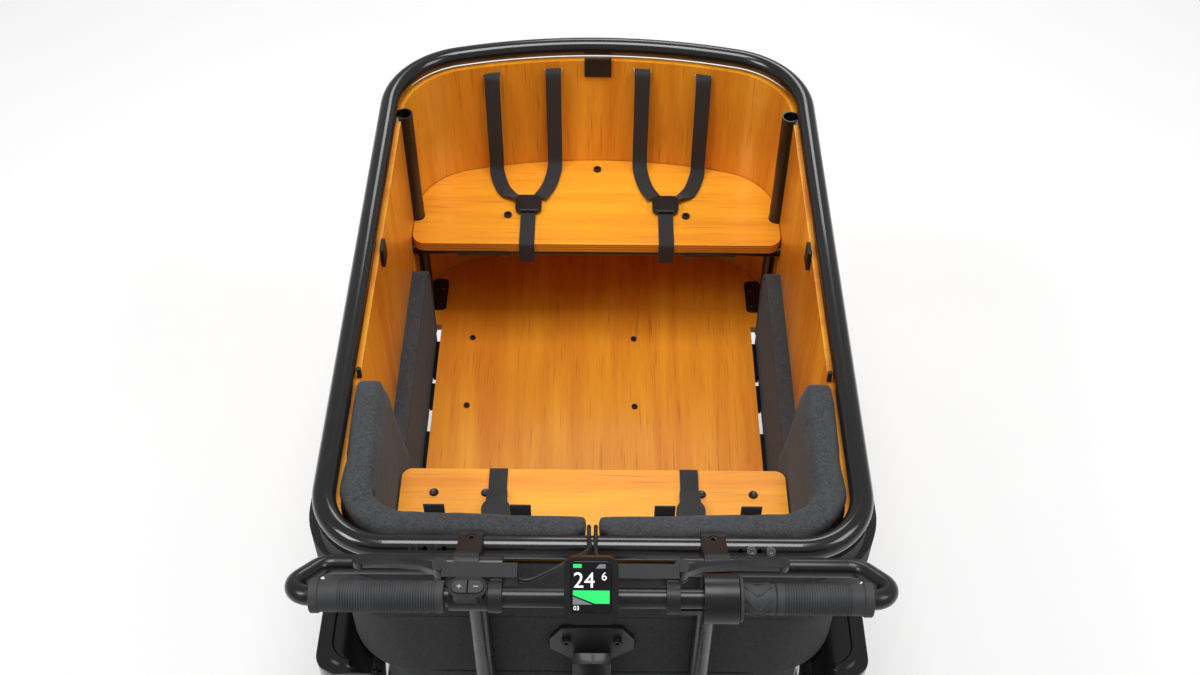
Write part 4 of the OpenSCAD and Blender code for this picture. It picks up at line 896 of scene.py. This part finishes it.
class BIKE_OT_controls(bpy.types.Operator):
    """Makes the display's face, the marks on the remote and the lamp glasses"""
    bl_idname = "bike.controls"
    bl_label = "Display and marks"

    def execute(self, context):
        low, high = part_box("display_screen")
        tilt = Matrix.Rotation(math.radians(42), 4, "X")
        centre = (low + high) / 2
        up = tilt @ Vector((0, 0, 1))
        rounded("display_screen", "screen", 0.0006, 2)
        place = Matrix.Translation(centre + up * 0.00086) @ tilt
        self.words("digits_whole", "24", 0.0235, (-0.0195, -0.0005), place, "digits")
        self.words("digits_part", "6", 0.0125, (0.0105, 0.0075), place, "digits")
        self.words("digits_low", "03", 0.0065, (-0.019, -0.0245), place, "digits")
        for name, corners, material in (
            ("panel_green", ((-0.0195, -0.0035), (0.0195, -0.0035), (0.0195, -0.0175), (0.004, -0.0175),
                             (-0.0195, -0.0085)), "green"),
            ("battery_mark", ((-0.0195, 0.0205), (-0.0105, 0.0205), (-0.0105, 0.0245),
                              (-0.0195, 0.0245)), "green"),
            ("grey_mark", ((0.0045, 0.0200), (0.0150, 0.0200), (0.0150, 0.0245),
                           (0.0085, 0.0245)), "dim"),
            ("grey_wedge", ((-0.0195, -0.0100), (0.0015, -0.0185), (-0.0195, -0.0185)), "dim"),
        ):
            bm = bmesh.new()
            bm.faces.new([bm.verts.new((x, y, 0)) for x, y in corners])
            made = bmesh.ops.extrude_face_region(bm, geom=bm.faces[:])["geom"]
            raised = [v for v in made if isinstance(v, bmesh.types.BMVert)]
            bmesh.ops.translate(bm, vec=(0, 0, 0.00012), verts=raised)
            bmesh.ops.transform(bm, matrix=place, verts=bm.verts)
            new_object(name, bm, material, "front_box")
        self.marks()
        self.lens()
        return {"FINISHED"}

    def words(self, name, text, size, spot, place, material):
        curve = bpy.data.curves.new(name, "FONT")
        curve.body = text
        curve.size = size
        curve.extrude = 0.00006
        holder = bpy.data.objects.new(name, curve)
        bpy.context.scene.collection.objects.link(holder)
        bpy.context.view_layer.update()
        deps = bpy.context.evaluated_depsgraph_get()
        mesh = bpy.data.meshes.new_from_object(holder.evaluated_get(deps))
        bpy.data.objects.remove(holder)
        bpy.data.curves.remove(curve)
        bm = bmesh.new()
        bm.from_mesh(mesh)
        bpy.data.meshes.remove(mesh)
        bmesh.ops.remove_doubles(bm, verts=bm.verts, dist=1e-7)
        bmesh.ops.translate(bm, vec=(spot[0], spot[1], 0.0001), verts=bm.verts)
        bmesh.ops.transform(bm, matrix=place, verts=bm.verts)
        new_object(name, bm, material, "front_box")

    def marks(self):
        for node, cross in (("remote_plus", True), ("remote_minus", False)):
            low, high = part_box(node)
            c = (low + high) / 2
            bm = bmesh.new()
            top = high.z
            long, short = 0.0026, 0.00045
            for x, y in ((long, short), (short, long))[:2 if cross else 1]:
                block(bm, (c.x - x, c.y - y, top - 0.0004), (c.x + x, c.y + y, top + 0.00015))
            new_object(node + "_mark", bm, "mark", BODY_OF[node])

    def lens(self):
        low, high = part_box("headlight")
        c = (low + high) / 2
        r = (high.z - low.z) / 2
        bm = bmesh.new()
        bmesh.ops.create_uvsphere(bm, u_segments=48, v_segments=16, radius=r * 0.86)
        bmesh.ops.scale(bm, vec=(1, 0.14, 1), verts=bm.verts)
        bmesh.ops.translate(bm, vec=(c.x, high.y - 0.0022, c.z), verts=bm.verts)
        new_object("lamp_glass", bm, "lamp", "front_box")


class BIKE_OT_hoses(bpy.types.Operator):
    """Makes the two brake hoses, from the brake bodies down behind the backrest"""
    bl_idname = "bike.hoses"
    bl_label = "Brake hoses"

    def execute(self, context):
        for name, start, s in (("hose_left", -0.0804, -1), ("hose_right", 0.0124, 1)):
            x = 0.004 * s
            route = [(start, -0.077, 0.874), (start - 0.014 * s, -0.077, 0.874),
                     (x + (start - x) * 0.4, -0.056, 0.870), (x, -0.030, 0.862), (x, -0.008, 0.849),
                     (x, 0.012, 0.844), (x, 0.018, 0.831), (x, 0.018, 0.800), (x, 0.018, 0.700),
                     (x, 0.018, 0.570)]
            line = curve_points([(a, b + CENTRING, c) for a, b, c in route], 40)
            curve = bpy.data.curves.new(name, "CURVE")
            curve.dimensions = "3D"
            curve.bevel_depth = 0.0025
            curve.bevel_resolution = 4
            curve.use_fill_caps = True
            spline = curve.splines.new("POLY")
            spline.points.add(len(line) - 1)
            for point, at in zip(spline.points, line):
                point.co = (*at, 1.0)
            spline.use_smooth = True
            curve.materials.append(MATERIALS["hose"])
            obj = bpy.data.objects.new(name, curve)
            context.scene.collection.objects.link(obj)
            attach(obj, "front_box")
            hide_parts("cables")
            length = sum((b - a).length for a, b in zip(line, line[1:]))
        return {"FINISHED"}


class BIKE_OT_stage(bpy.types.Operator):
    """Makes the floor, the lights and the camera"""
    bl_idname = "bike.stage"
    bl_label = "Stage"

    def execute(self, context):
        s = context.scene.bike_stage
        scene = context.scene
        world = bpy.data.worlds.new("studio")
        scene.world = world
        world.use_nodes = True
        back = world.node_tree.nodes["Background"]
        back.inputs["Color"].default_value = (1, 1, 1, 1)
        back.inputs["Strength"].default_value = s.sky
        scene.view_settings.view_transform = "Standard"
        bm = bmesh.new()
        bmesh.ops.create_grid(bm, x_segments=1, y_segments=1, size=14.0)
        mesh = bpy.data.meshes.new("floor")
        bm.to_mesh(mesh)
        bm.free()
        floor = bpy.data.objects.new("floor", mesh)
        scene.collection.objects.link(floor)
        b = Brew("pale_floor", Roughness=0.9)
        b.finish(Base_Color=b.tint(b.noise(scale=2.0), (0.90, 0.90, 0.90), (0.93, 0.93, 0.93)))
        mesh.materials.append(b.mat)
        for name, spot, aim, size, power in (
            ("top", (0.0, 0.5, 4.6), (0, 0.5, 0.5), 1.8, 95.0),
            ("key", (-2.4, -0.6, 3.6), (0, 0.4, 0.5), 1.2, 48.0),
            ("fill", (2.6, -0.3, 3.4), (0, 0.4, 0.5), 1.4, 38.0),
            ("front", (0.4, 4.2, 3.4), (0, 0.5, 0.5), 1.4, 30.0),
        ):
            light = bpy.data.lights.new(name, "AREA")
            light.energy = power
            light.size = size
            lamp = bpy.data.objects.new(name, light)
            lamp.location = spot
            lamp.rotation_euler = (Vector(aim) - Vector(spot)).to_track_quat("-Z", "Y").to_euler()
            scene.collection.objects.link(lamp)
        data = bpy.data.cameras.new("camera")
        data.lens = s.lens
        data.sensor_width = 36.0
        camera = bpy.data.objects.new("camera", data)
        turn = Matrix.Rotation(math.pi / 2 - s.pitch, 4, "X") @ Matrix.Rotation(s.roll, 4, "Z")
        camera.matrix_world = Matrix.Translation((0.007, -0.7746, 2.184)) @ turn
        scene.collection.objects.link(camera)
        scene.camera = camera
        return {"FINISHED"}


class BIKE_PT_panel(bpy.types.Panel):
    """Lists the pieces in the order in which they are made"""
    bl_idname = "BIKE_PT_panel"
    bl_label = "Cargo bicycle"
    bl_space_type = "VIEW_3D"
    bl_region_type = "UI"
    bl_category = "Bicycle"

    def draw(self, context):
        for operator in OPERATORS:
            self.layout.operator(operator.bl_idname)
        for group in SETTINGS:
            box = self.layout.box()
            settings = getattr(context.scene, group)
            for key in settings.bl_rna.properties.keys():
                if key not in ("rna_type", "name"):
                    box.prop(settings, key)


SETTINGS = {"bike_felt": FeltSettings, "bike_wood": WoodSettings, "bike_grip": GripSettings,
            "bike_tyre": TyreSettings, "bike_stage": StageSettings}
OPERATORS = (BIKE_OT_stage, BIKE_OT_hoses, BIKE_OT_metalwork, BIKE_OT_plastics, BIKE_OT_boards,
             BIKE_OT_cushions, BIKE_OT_harness, BIKE_OT_grips, BIKE_OT_tyres, BIKE_OT_controls)


def register():
    for cls in (*SETTINGS.values(), *OPERATORS, BIKE_PT_panel):
        bpy.utils.register_class(cls)
    for name, cls in SETTINGS.items():
        setattr(bpy.types.Scene, name, PointerProperty(type=cls))


def unregister():
    for name in SETTINGS:
        delattr(bpy.types.Scene, name)
    for cls in reversed((*SETTINGS.values(), *OPERATORS, BIKE_PT_panel)):
        bpy.utils.unregister_class(cls)


def main():
    register()
    make_materials(bpy.context.scene)
    for operator in OPERATORS:
        group, name = operator.bl_idname.split(".")
        result = getattr(getattr(bpy.ops, group), name)()
        if result != {"FINISHED"}:
            raise RuntimeError(f"{operator.bl_label} wasn't made")


if __name__ == "__main__":
    main()
